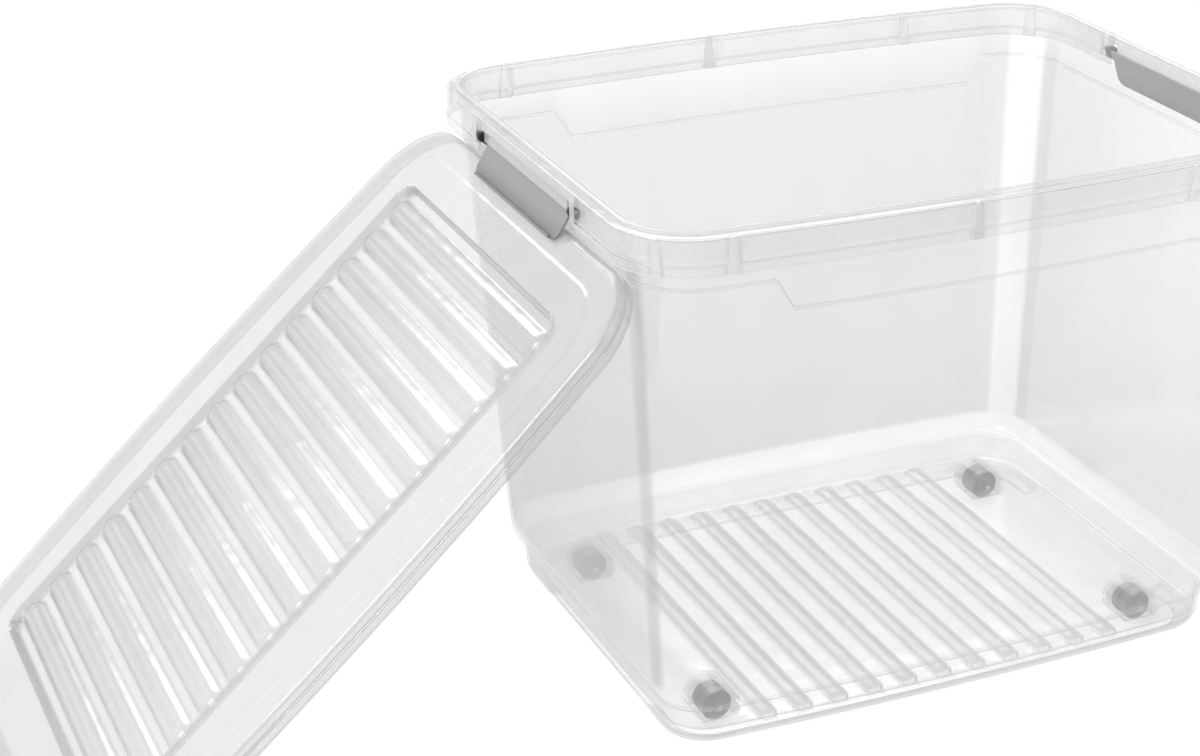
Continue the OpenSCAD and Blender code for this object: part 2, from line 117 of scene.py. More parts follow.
class Bench:
    """A material's or world's node tree, with one way of adding any node."""

    def __init__(self, tree: bpy.types.NodeTree) -> None:
        """Empties the tree.

        Args:
            tree: The node tree to build in.
        """
        self.tree = tree
        tree.nodes.clear()

    def add(
        self,
        kind: str,
        settings: dict[str, object] | None = None,
        inputs: dict[str | int, object] | None = None,
        output: str | int = 0,
    ) -> Wire:
        """Adds a node, sets it up and feeds its sockets.

        Args:
            kind: The node's type, such as ShaderNodeMath.
            settings: The node's own settings, made before its sockets are fed.
            inputs: A value or a wire for each input socket, by name or number.
            output: The output socket to return, by name or number.

        Returns:
            The wire from the chosen output.
        """
        node = self.tree.nodes.new(kind)
        for key, value in (settings or {}).items():
            setattr(node, key, value)
        for key, value in (inputs or {}).items():
            if isinstance(value, Wire):
                self.tree.links.new(value.socket, node.inputs[key])
            else:
                node.inputs[key].default_value = value
        return Wire(self, node.outputs[output]) if len(node.outputs) else Wire(self, None)

    def place(self) -> Wire:
        """Returns the point on the piece, in its own frame, in metres."""
        return self.add("ShaderNodeTexCoord", output="Object")

    def along(self, axis: int) -> Wire:
        """Returns the point's coordinate along an axis: 0 for X, 1 for Y, 2 for Z."""
        return self.add("ShaderNodeSeparateXYZ", inputs={0: self.place()}, output=axis)

    def stored(self, name: str) -> Wire:
        """Returns a value that the mesh stores at its points."""
        return self.add("ShaderNodeAttribute", {"attribute_name": name}, output="Fac")

    def ramp(self, value: Value, low: float, high: float) -> Wire:
        """Returns how far a value has come from one end to another.

        Args:
            value: The value.
            low: Where the result is 0.
            high: Where the result is 1.

        Returns:
            The share, from 0 to 1.
        """
        return self.add(
            "ShaderNodeMapRange", inputs={"Value": value, "From Min": low, "From Max": high}
        )

    def noise(self, size_mm: float, detail: float = 2.0, scale: Point3 = (1.0, 1.0, 1.0)) -> Wire:
        """Returns a noise from 0 to 1.

        Args:
            size_mm: The size of its patches.
            detail: How many finer layers it has.
            scale: How the piece's axes are stretched first.

        Returns:
            The noise's value.
        """
        spot = self.add(
            "ShaderNodeVectorMath", {"operation": "MULTIPLY"}, {0: self.place(), 1: scale}
        )
        return self.add(
            "ShaderNodeTexNoise",
            {"noise_dimensions": "3D"},
            {"Vector": spot, "Scale": 1.0 / (size_mm * MM), "Detail": detail},
        )

    def blend(self, share: Value, low: Colour, high: Colour) -> Wire:
        """Returns a colour between two.

        Args:
            share: How much of the second colour.
            low: The first colour.
            high: The second colour.

        Returns:
            The mixed colour.
        """
        first, second = (c if isinstance(c, Wire) else (*c, 1.0) for c in (low, high))
        return self.add(
            "ShaderNodeMix", {"data_type": "RGBA"}, {0: share, 6: first, 7: second}, output=2
        )

    def relief(self, height: Wire, depth_mm: float) -> Wire:
        """Returns a normal bent by a height.

        Args:
            height: The height, from 0 to 1.
            depth_mm: The height that 1 stands for.

        Returns:
            The bent normal.
        """
        return self.add(
            "ShaderNodeBump", inputs={"Strength": 1.0, "Distance": depth_mm * MM, "Height": height}
        )

    def surface(self, colour: Colour, roughness: Value, normal: Wire, **others: float) -> Wire:
        """Returns the shader of an opaque surface.

        Args:
            colour: Its colour.
            roughness: Its roughness.
            normal: Its bent normal.
            **others: Constants for other sockets, such as Metallic or IOR.

        Returns:
            The shader.
        """
        base = colour if isinstance(colour, Wire) else (*colour, 1.0)
        inputs = {"Base Color": base, "Roughness": roughness, "Normal": normal, **others}
        return self.add("ShaderNodeBsdfPrincipled", inputs=inputs)

    def mixed(self, share: Value, first: Wire, second: Wire) -> Wire:
        """Returns a shader between two, with a share of the second."""
        return self.add("ShaderNodeMixShader", inputs={0: share, 1: first, 2: second})

    def finish(self, shader: Wire) -> None:
        """Feeds the shader to the material's output."""
        self.add("ShaderNodeOutputMaterial", inputs={"Surface": shader})


def new_material(name: str) -> tuple[bpy.types.Material, Bench]:
    """Makes an empty material.

    Args:
        name: The material's name.

    Returns:
        The material and the bench to build it on.
    """
    material = bpy.data.materials.new(name)
    material.use_nodes = True
    return material, Bench(material.node_tree)


# -------------------------------------------------------------------- finishes


@dataclass(frozen=True)
class ClearPolypropylene:
    """Clear moulded plastic: see-through face on, hazier at a slant, on ribs and along edges, with
    a painted highlight on outward edges and painted shade in inward corners, low on the walls and
    where the stored haze-and-shade value rises.
    """

    name: str
    pale: Point3 = (0.76, 0.76, 0.76)
    deep: Point3 = (0.66, 0.66, 0.66)
    # Painted highlight colour for outward edges, then painted shade colour for inward corners.
    ridge_highlight: Point3 = (0.92, 0.92, 0.92)
    groove_shade: Point3 = (0.34, 0.34, 0.34)
    # Painted shade colour, blended in where the stored haze-and-shade value rises.
    shade: Point3 = (0.45, 0.45, 0.45)
    haze: float = 0.068
    haze_change: float = 0.04
    # Painted shade: extra greyness low on the walls, fading out above and at the foot.
    low_shade: float = 0.05
    slant_haze: float = 0.55
    slant_power: float = 3.2
    haze_and_shade_share: float = 0.5
    # How strongly the painted highlight and the painted shade along edges show.
    ridge_highlight_share: float = 0.4
    groove_shade_share: float = 0.28
    gloss: float = 0.045
    gloss_at_slant: float = 0.2
    gloss_colour: Point3 = (0.95, 0.95, 0.95)
    gloss_roughness: float = 0.12
    roughness: float = 0.16
    roughness_change: float = 0.12
    flow_mm: float = 60.0
    ripple_mm: float = 22.0
    ripple_depth_mm: float = 0.35
    low_shade_height: Point2 = (0.36, 0.08)
    foot_height: Point2 = (0.03, 0.05)

    def make(self) -> bpy.types.Material:
        """Builds the material.

        Returns:
            The material.
        """
        material, bench = new_material(self.name)
        flow = bench.noise(self.flow_mm, 2.0, (1.0, 1.0, 0.35))
        ripple = bench.noise(self.ripple_mm, 1.0, (1.0, 1.0, 0.5))
        normal = bench.relief(ripple, self.ripple_depth_mm)
        slant = bench.add("ShaderNodeLayerWeight", inputs={"Blend": 0.5}, output="Facing")
        # The stored haze-and-shade value is partly real haze and partly painted shade and painted
        # highlight.
        crease, haze_and_shade = bench.stored(CREASE), bench.stored(HAZE_AND_SHADE)
        # Painted highlight on outward edges and painted shade in inward corners, from the stored
        # crease value.
        ridge_highlight = bench.add("ShaderNodeMath", {"operation": "MAXIMUM"}, {0: crease, 1: 0.0})
        groove_shade = ridge_highlight - crease
        height = bench.along(2)
        # Painted shade, greyer low on the walls.
        low_shade_mask = bench.ramp(height, *self.low_shade_height) * bench.ramp(height, *self.foot_height)
        plain = bench.blend(flow, self.pale, self.deep)
        # Painted shade where the haze-and-shade value rises and in inward corners.
        colour = bench.blend(groove_shade, bench.blend(haze_and_shade, plain, self.shade), self.groove_shade)
        # Painted highlight on outward edges.
        colour = bench.blend(ridge_highlight, colour, self.ridge_highlight)
        rough = self.roughness + self.roughness_change * flow
        body = bench.surface(colour, rough, normal, IOR=PLASTIC_IOR)
        share = self.haze + self.haze_change * flow + self.low_shade * low_shade_mask
        share = share + self.slant_haze * slant**self.slant_power + self.haze_and_shade_share * haze_and_shade
        share = share + self.ridge_highlight_share * ridge_highlight + self.groove_shade_share * groove_shade
        hazed = bench.mixed(share, bench.add("ShaderNodeBsdfTransparent"), body)
        shine = bench.surface(self.gloss_colour, self.gloss_roughness, normal, Metallic=1.0)
        polish = self.gloss + self.gloss_at_slant * slant**2.0
        bench.finish(bench.mixed(polish, hazed, shine))
        return material


@dataclass(frozen=True)
class MouldedGrey:
    """Solid grey moulded plastic with a fine satin texture; where set, painted shade on its lower
    edge and a near-black painted shadow on its ends.
    """

    name: str
    pale: Point3
    deep: Point3
    roughness: float = 0.32
    roughness_change: float = 0.14
    cloud_mm: float = 18.0
    grain_mm: float = 0.7
    grain_depth_mm: float = 0.03
    # Painted shade: darker below, paler above, between these heights.
    lower_shade: Point2 | None = None
    lower_shade_share: float = 0.85
    # Painted shadow: near black past this distance from the middle.
    end_shadow_past_mm: float | None = None
    end_shadow: Point3 = (0.015, 0.015, 0.016)

    def colour(self, bench: Bench) -> Wire:
        """Returns the colour, with painted shade darkening its lower edge and a painted shadow on
        its ends, where these are set.

        Args:
            bench: The material's bench.

        Returns:
            The colour.
        """
        cloud_and_shade = bench.noise(self.cloud_mm, 3.0)
        # Painted shade, darker towards the lower edge.
        if self.lower_shade:
            rise = bench.ramp(bench.along(2), *(v * MM for v in self.lower_shade))
            cloud_and_shade = (1.0 - self.lower_shade_share) * cloud_and_shade + self.lower_shade_share * rise
        plain = bench.blend(cloud_and_shade, self.deep, self.pale)
        if self.end_shadow_past_mm is None:
            return plain
        # Painted shadow: near black past the given distance from the middle.
        past = bench.add("ShaderNodeMath", {"operation": "ABSOLUTE"}, {0: bench.along(1)})
        limit = {0: past, 1: self.end_shadow_past_mm * MM}
        ends = bench.add("ShaderNodeMath", {"operation": "GREATER_THAN"}, limit)
        return bench.blend(ends, plain, self.end_shadow)

    def make(self) -> bpy.types.Material:
        """Builds the material.

        Returns:
            The material.
        """
        material, bench = new_material(self.name)
        grain = bench.noise(self.grain_mm, 2.0)
        rough = self.roughness + self.roughness_change * grain
        normal = bench.relief(grain, self.grain_depth_mm)
        bench.finish(bench.surface(self.colour(bench), rough, normal, IOR=PLASTIC_IOR))
        return material


@dataclass(frozen=True)
class DrawnSteel:
    """Plain drawn steel pin, with fine marks along its length."""

    name: str = "drawn_steel"
    pale: Point3 = (0.66, 0.66, 0.67)
    deep: Point3 = (0.50, 0.50, 0.52)
    roughness: float = 0.28
    roughness_change: float = 0.16
    mark_mm: float = 0.5
    mark_depth_mm: float = 0.01

    def make(self) -> bpy.types.Material:
        """Builds the material.

        Returns:
            The material.
        """
        material, bench = new_material(self.name)
        draw = bench.noise(self.mark_mm, 2.0, (1.0, 0.05, 1.0))
        rough = self.roughness + self.roughness_change * draw
        normal = bench.relief(draw, self.mark_depth_mm)
        colour = bench.blend(draw, self.deep, self.pale)
        bench.finish(bench.surface(colour, rough, normal, Metallic=1.0))
        return material


class Finish(Enum):
    """The finishes on the bin, with the record's slot for each."""

    CLEAR = "clear_pp"
    LID = "clear_pp of the lid"
    CLIP = "grey_pp"
    ROLLER = "roller_pp"
    AXLE = "axle_steel"

    @property
    def slot(self) -> str:
        """The record's material slot."""
        return self.value.split()[0]


def make_finishes() -> dict[Finish, bpy.types.Material]:
    """Makes the material of each finish.

    Returns:
        The materials, by finish.
    """
    lid = ClearPolypropylene(
        "clear_lid",
        pale=(0.79, 0.79, 0.79),
        deep=(0.67, 0.67, 0.67),
        haze=0.28,
        haze_change=0.06,
        low_shade=0.0,
        haze_and_shade_share=0.45,
    )
    clip = MouldedGrey(
        "clip_grey",
        pale=(0.38, 0.385, 0.395),
        deep=(0.22, 0.225, 0.23),
        # Painted shade on the clip's lower edge.
        lower_shade=(338.0, 352.0),
        # Painted shadow on the clip's ends.
        end_shadow_past_mm=75.5,
    )
    roller = MouldedGrey("roller_grey", pale=(0.13, 0.135, 0.14), deep=(0.08, 0.085, 0.09))
    return {
        Finish.CLEAR: ClearPolypropylene("clear_bin").make(),
        Finish.LID: lid.make(),
        Finish.CLIP: clip.make(),
        Finish.ROLLER: roller.make(),
        Finish.AXLE: DrawnSteel().make(),
    }


# ------------------------------------------------------------------ mesh tools


def show(name: str, data: bpy.types.ID) -> bpy.types.Object:
    """Puts a mesh, a camera or a lamp in the scene.

    Args:
        name: The new object's name.
        data: The mesh, camera or lamp.

    Returns:
        The object.
    """
    made = bpy.data.objects.new(name, data)
    bpy.context.scene.collection.objects.link(made)
    return made


def discard(target: bpy.types.Object) -> None:
    """Removes an object and its mesh.

    Args:
        target: The object.
    """
    mesh = target.data
    bpy.data.objects.remove(target)
    bpy.data.meshes.remove(mesh)


@contextmanager
def editing(target: bpy.types.Object) -> Iterator[bmesh.types.BMesh]:
    """Opens an object's mesh for changes, and stores them.

    Args:
        target: The object.

    Yields:
        The mesh to change.
    """
    work = bmesh.new()
    work.from_mesh(target.data)
    yield work
    work.to_mesh(target.data)
    work.free()


def new_object(name: str, points: Iterable[Point3], faces: Iterable[Face]) -> bpy.types.Object:
    """Makes an object from points in millimetres.

    Args:
        name: The object's name.
        points: The points.
        faces: The faces, as point numbers.

    Returns:
        The object, linked to the scene.
    """
    mesh = bpy.data.meshes.new(name)
    mesh.from_pydata([Vector(p) * MM for p in points], [], list(faces))
    mesh.update()
    return show(name, mesh)


def face_outwards(target: bpy.types.Object) -> bpy.types.Object:
    """Turns all the faces of a closed object outwards.

    Args:
        target: The object.

    Returns:
        The same object.
    """
    with editing(target) as work:
        bmesh.ops.recalc_face_normals(work, faces=work.faces[:])
    return target


def ring_faces(count: int, length: int, closed: bool = True) -> list[Face]:
    """Returns the faces between sections laid one after another.

    Args:
        count: The number of sections.
        length: The number of points in each.
        closed: Whether the last section joins the first.

    Returns:
        The faces.
    """
    last = count if closed else count - 1
    return [
        (k * length + j, ((k + 1) % count) * length + j,
         ((k + 1) % count) * length + (j + 1) % length, k * length + (j + 1) % length)
        for k in range(last)
        for j in range(length)
    ]


def rounded(corners: Sequence[Corner], steps: int = 3) -> list[Point2]:
    """Rounds the corners of a closed outline.

    Args:
        corners: Each corner's two coordinates and how far its rounding reaches.
        steps: The number of steps in each rounding.

    Returns:
        The rounded outline.
    """
    outline: list[Point2] = []
    most = 0.48
    for i, (x, y, reach) in enumerate(corners):
        here = Vector((x, y))
        if reach <= 0:
            outline.append((x, y))
            continue
        before = Vector(corners[i - 1][:2]) - here
        after = Vector(corners[(i + 1) % len(corners)][:2]) - here
        start = here + before.normalized() * min(reach, most * before.length)
        end = here + after.normalized() * min(reach, most * after.length)
        for k in range(steps + 1):
            t = k / steps
            spot = start * (1 - t) ** 2 + here * (2 * t * (1 - t)) + end * t**2
            outline.append((spot.x, spot.y))
    return outline


def box_solid(name: str, low: Point3, high: Point3) -> bpy.types.Object:
    """Makes a box.

    Args:
        name: The object's name.
        low: Its lowest corner.
        high: Its highest corner.

    Returns:
        The object.
    """
    xs, ys, zs = zip(low, high)
    points = [(x, y, z) for x in xs for y in ys for z in zs]
    faces = [(0, 1, 3, 2), (4, 6, 7, 5), (0, 4, 5, 1), (2, 3, 7, 6), (0, 2, 6, 4), (1, 5, 7, 3)]
    return new_object(name, points, faces)


def rod(centre: Point3, radius: float, length: float, sides: int = 64) -> bpy.types.Object:
    """Makes a rod along Y.

    Args:
        centre: Its middle.
        radius: Its radius.
        length: Its length.
        sides: The number of its sides.

    Returns:
        The object.
    """
    cx, cy, cz = centre
    points, angle = [], 2 * math.pi / sides
    for k in range(sides):
        x, z = cx + radius * math.cos(k * angle), cz + radius * math.sin(k * angle)
        points += [(x, cy - length / 2, z), (x, cy + length / 2, z)]
    faces: list[Face] = [
        (2 * k, 2 * ((k + 1) % sides), 2 * ((k + 1) % sides) + 1, 2 * k + 1) for k in range(sides)
    ]
    faces += [tuple(range(0, 2 * sides, 2)), tuple(range(2 * sides - 1, 0, -2))]
    return face_outwards(new_object("rod", points, faces))


def join(name: str, parts: Sequence[bpy.types.Object]) -> bpy.types.Object:
    """Joins objects that don't overlap into one, and removes them.

    Args:
        name: The new object's name.
        parts: The objects.

    Returns:
        The new object.
    """
    made = show(name, bpy.data.meshes.new(name))
    with editing(made) as work:
        for part in parts:
            part.data.transform(part.matrix_world)
            work.from_mesh(part.data)
            discard(part)
    return made


class Cut(Enum):
    """What a second solid does to a first."""

    ADD = "UNION"
    REMOVE = "DIFFERENCE"
    KEEP_SHARED = "INTERSECT"


def carve(target: bpy.types.Object, tool: bpy.types.Object, how: Cut) -> None:
    """Changes a solid by another, and removes the other.

    Args:
        target: The solid that changes.
        tool: The solid that changes it.
        how: Whether it adds, removes or keeps what both share.
    """
    modifier = target.modifiers.new("carve", "BOOLEAN")
    modifier.operation = how.value
    modifier.solver = "MANIFOLD"
    modifier.object = tool
    settle(target)
    discard(tool)


def settle(target: bpy.types.Object) -> None:
    """Applies an object's modifiers to its mesh.

    Args:
        target: The object.
    """
    bpy.context.view_layer.update()
    shown = target.evaluated_get(bpy.context.evaluated_depsgraph_get())
    mesh = bpy.data.meshes.new_from_object(shown)
    old = target.data
    target.modifiers.clear()
    target.data = mesh
    bpy.data.meshes.remove(old)


def smooth(target: bpy.types.Object, sharp_deg: float = 34.0, weld_mm: float = 0.01) -> None:
    """Welds a mesh and shades it smooth except over sharp edges.

    Args:
        target: The object.
        sharp_deg: The least angle of an edge that stays sharp.
        weld_mm: Points closer than this become one.
    """
    limit = math.radians(sharp_deg)
    with editing(target) as work:
        bmesh.ops.remove_doubles(work, verts=work.verts[:], dist=weld_mm * MM)
        bmesh.ops.dissolve_degenerate(work, edges=work.edges[:], dist=weld_mm * MM * 0.5)
        for face in work.faces:
            face.smooth = True
        for edge in work.edges:
            edge.smooth = not (len(edge.link_faces) == 2 and edge.calc_face_angle(0.0) > limit)


def mark_creases(
    target: bpy.types.Object,
    tightest_mm: float = 1.0,
    least_deg: float = 8.0,
    shaded_below_mm: float = 0.0,
) -> None:
    """Stores how tightly the surface turns at each point.

    A flat gets 0, a tight outward edge 1 and a tight inward corner -1. The clear plastic paints a
    highlight where the value is above 0 and shade where it is below.

    Args:
        target: The object.
        tightest_mm: The radius at and below which a point gets 1 or -1.
        least_deg: The least turn that counts.
        shaded_below_mm: Under this height the outward edges count as inward ones, so they get
            painted shade in place of a painted highlight.
    """
    with editing(target) as work:
        layer = work.verts.layers.float.new(CREASE)
        for edge in work.edges:
            length = edge.calc_length()
            angle = edge.calc_face_angle_signed(0.0) if len(edge.link_faces) == 2 else 0.0
            if length <= 0 or abs(angle) < math.radians(least_deg):
                continue
            across = sum(face.calc_area() for face in edge.link_faces) / (2 * length)
            share = min(max(angle / max(across, 1e-6) * tightest_mm * MM, -1.0), 1.0)
            for point in edge.verts:
                point[layer] = max(point[layer], share, key=abs)
        for point in work.verts:
            if point.co.z < shaded_below_mm * MM:
                point[layer] = -abs(point[layer])


def mark_haze_and_shade(target: bpy.types.Object, cloud_and_shade: Callable[[Vector, Vector], float]) -> None:
    """Stores at each point how much the plastic is made cloudier and greyer than its surroundings,
    below 0 clearer and paler: partly real haze, partly painted shade and painted highlight.

    Args:
        target: The object.
        cloud_and_shade: Gives the change at a place in millimetres and a normal, from -1 to 1.
    """
    with editing(target) as work:
        layer = work.verts.layers.float.new(HAZE_AND_SHADE)
        for point in work.verts:
            point[layer] = cloud_and_shade(point.co / MM, point.normal)


def dress(
    piece: bpy.types.Object, material: bpy.types.Material, finish: Finish, body: str, *nodes: str
) -> bpy.types.Object:
    """Gives a piece its material and its body, and hides the CAD nodes it stands for.

    Args:
        piece: The piece.
        material: Its material.
        finish: The finish it stands for, which the code reads but does not use.
        body: The body it moves with.
        nodes: The CAD nodes it stands for.

    Returns:
        The piece.
    """
    piece.data.materials.clear()
    piece.data.materials.append(material)
    finish.slot
    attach(piece, body)
    if nodes:
        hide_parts(*nodes)
    LOG.info("%s: %d faces on %s", piece.name, len(piece.data.polygons), body)
    return piece


# ------------------------------------------------------------------ the bin


def hinge_place(name: str) -> Vector:
    """Returns a joint's place at rest, in millimetres."""
    found = next(j for j in frame["joints"] if j["name"] == name)
    return Vector(found["pos_m"]) / MM


@dataclass
class RimPlan:
    """The rounded rectangle with bowed long sides that the bin and the lid follow."""

    half_length: float
    half_width: float
    corner: float
    bow: float = 7.0
    corner_shrink: float = 0.41
    bow_fade: float = 90.0
    corner_steps: int = 14
    side_steps: int = 26
    extra_shares: tuple[float, ...] = ()

    def straight(self) -> float:
        """Returns half the straight length of a long side."""
        return self.half_length - self.corner

    def stations(self) -> list[Station]:
        """Returns the stations round the rim.

        Returns:
            For each, its share of the straight length and width, and the angle of its normal.
        """
        even = [-1 + 2 * i / self.side_steps for i in range(self.side_steps + 1)]
        along = sorted(set(even) | set(self.extra_shares))
        across = [-1.0, -0.5, 0.0, 0.5, 1.0]
        turn = [90.0 * i / self.corner_steps for i in range(1, self.corner_steps)]
        rim: list[Station] = [(s, -1.0, -90.0) for s in along]
        rim += [(1.0, -1.0, t - 90.0) for t in turn]
        rim += [(1.0, s, 0.0) for s in across]
        rim += [(1.0, 1.0, t) for t in turn]
        rim += [(s, 1.0, 90.0) for s in reversed(along)]
        rim += [(-1.0, 1.0, 90.0 + t) for t in turn]
        rim += [(-1.0, s, 180.0) for s in reversed(across)]
        rim += [(-1.0, -1.0, 180.0 + t) for t in turn]
        return rim

    def point(self, station: Station, inset: float) -> Point2:
        """Returns the point at a station, set in from the rim line.

        Args:
            station: The station.
            inset: The distance inwards.

        Returns:
            The point's x and y, from the middle of the rim.
        """
        sx, sy, angle = station
        radius = self.corner - (inset if inset < 0 else self.corner_shrink * inset)
        bow = self.bow * (1 - max(inset, 0.0) / self.bow_fade) * (1 - sx * sx)
        turn = math.radians(angle)
        x = sx * (self.half_length - inset - radius) + radius * math.cos(turn)
        y = sy * (self.half_width - inset - radius) + (radius + bow) * math.sin(turn)
        return x, y

    def loft(self, name: str, section: Callable[[Station], list[Point2]]) -> bpy.types.Object:
        """Makes a ring-shaped solid.

        Args:
            name: The object's name.
            section: Gives the closed section at a station, as inset and height.

        Returns:
            The object.
        """
        points: list[Point3] = []
        stations = self.stations()
        length = 0
        for station in stations:
            outline = section(station)
            length = len(outline)
            for inset, height in outline:
                x, y = self.point(station, inset)
                points.append((x, y, height))
        return face_outwards(new_object(name, points, ring_faces(len(stations), length)))


@dataclass
class RibRow:
    """A row of round-backed ribs across a panel."""

    first: float
    pitch: float
    count: int
    half: float
    width: float
    height: float
    blend: float = 0.5

    def rise(self, x: float, y: float) -> float:
        """Returns how high the ribs stand over the panel at a point.

        Args:
            x: The point's place across the ribs.
            y: The point's place along the ribs.

        Returns:
            The height.
        """
        nearest = round((x - self.first) / self.pitch)
        nearest = min(max(nearest, 0), self.count - 1)
        past = max(abs(y) - (self.half - self.width / 2), 0.0)
        off = math.hypot(x - self.first - nearest * self.pitch, past)
        radius = (self.width**2 / 4 + self.height**2) / (2 * self.height)
        if off >= radius:
            return 0.0
        back = math.sqrt(radius**2 - off**2) - (radius - self.height)
        return max(0.0, 0.5 * (back + math.sqrt(back**2 + self.blend**2)) - 0.02)

    def solids(self, face_z: float) -> list[bpy.types.Object]:
        """Makes each rib as a solid sunk a little into the face it stands on.

        Args:
            face_z: The height of that face.

        Returns:
            The objects.
        """
        margin, fine, coarse, sunk = 1.5, 0.8, 14.0, 0.03
        reach = self.width / 2 + margin
        ys = ends_fine(self.half + margin, self.half - self.width / 2 - 1.0, fine, coarse)
        made = []
        for k in range(self.count):
            middle = self.first + k * self.pitch
            xs = spread(middle - reach, middle + reach, fine)
            tops = [(x, y, face_z - sunk + self.rise(x, y)) for x in xs for y in ys]
            made.append(height_patch(len(xs), len(ys), tops, face_z - 1.0))
        return made


def shaped_slab(
    name: str,
    outline: Sequence[Point2],
    xs: Sequence[float],
    ys: Sequence[float],
    level: Callable[[float, float], float],
    thickness: float,
) -> bpy.types.Object:
    """Makes a slab whose middle follows a height.

    Args:
        name: The object's name.
        outline: The slab's outline, where it is flat.
        xs: The grid's places along X.
        ys: The grid's places along Y.
        level: Gives the height of the upper face at a point.
        thickness: The slab's thickness.

    Returns:
        The object.
    """
    work = bmesh.new()
    rims = []
    for drop in (0.0, thickness):
        grid = [[work.verts.new((x, y, level(x, y) - drop)) for y in ys] for x in xs]
        rim = [work.verts.new((x, y, level(x, y) - drop)) for x, y in outline]
        for i in range(len(xs) - 1):
            for j in range(len(ys) - 1):
                work.faces.new((grid[i][j], grid[i + 1][j], grid[i + 1][j + 1], grid[i][j + 1]))
        inner = [row[0] for row in grid] + grid[-1][1:]
        inner += [row[-1] for row in reversed(grid[:-1])] + list(reversed(grid[0][1:-1]))
        edges = [
            work.edges.get((loop[k - 1], loop[k])) or work.edges.new((loop[k - 1], loop[k]))
            for loop in (inner, rim)
            for k in range(len(loop))
        ]
        bmesh.ops.triangle_fill(work, edges=edges, use_beauty=True, normal=(0, 0, 1))
        rims.append(rim)
    for k in range(len(outline)):
        work.faces.new((rims[0][k - 1], rims[0][k], rims[1][k], rims[1][k - 1]))
    bmesh.ops.recalc_face_normals(work, faces=work.faces[:])
    bmesh.ops.scale(work, vec=(MM, MM, MM), verts=work.verts[:])
    mesh = bpy.data.meshes.new(name)
    work.to_mesh(mesh)
    work.free()
    return show(name, mesh)


def height_patch(rows: int, columns: int, tops: Sequence[Point3], foot: float) -> bpy.types.Object:
    """Makes a solid with a shaped top, upright sides and a flat foot.

    Args:
        rows: The number of rows of points in its top.
        columns: The number of points in each row.
        tops: The points of its top, row by row.
        foot: The height of its foot.

    Returns:
        The object.
    """
    count = rows * columns
    points = [*tops, *((x, y, foot) for x, y, _ in tops)]
    faces: list[Face] = []
    for i in range(rows - 1):
        for j in range(columns - 1):
            a = i * columns + j
            quad = (a, a + columns, a + columns + 1, a + 1)
            faces += [quad, tuple(count + v for v in reversed(quad))]
    edge = [i * columns for i in range(rows)]
    edge += [(rows - 1) * columns + j for j in range(1, columns)]
    edge += [i * columns + columns - 1 for i in range(rows - 2, -1, -1)]
    edge += list(range(columns - 2, 0, -1))
    faces += [
        (edge[k], edge[k - 1], count + edge[k - 1], count + edge[k]) for k in range(len(edge))
    ]
    return face_outwards(new_object("rib", points, faces))


def spread(low: float, high: float, step: float) -> list[float]:
    """Returns even places from low to high, about step apart."""
    count = max(2, round((high - low) / step) + 1)
    return list(np.linspace(low, high, count))


def ends_fine(half: float, fine_from: float, fine: float, coarse: float) -> list[float]:
    """Returns places from -half to half, fine apart past fine_from and coarse between."""
    outer = spread(fine_from, half, fine)
    return [-v for v in reversed(outer)] + spread(-fine_from, fine_from, coarse)[1:-1] + outer


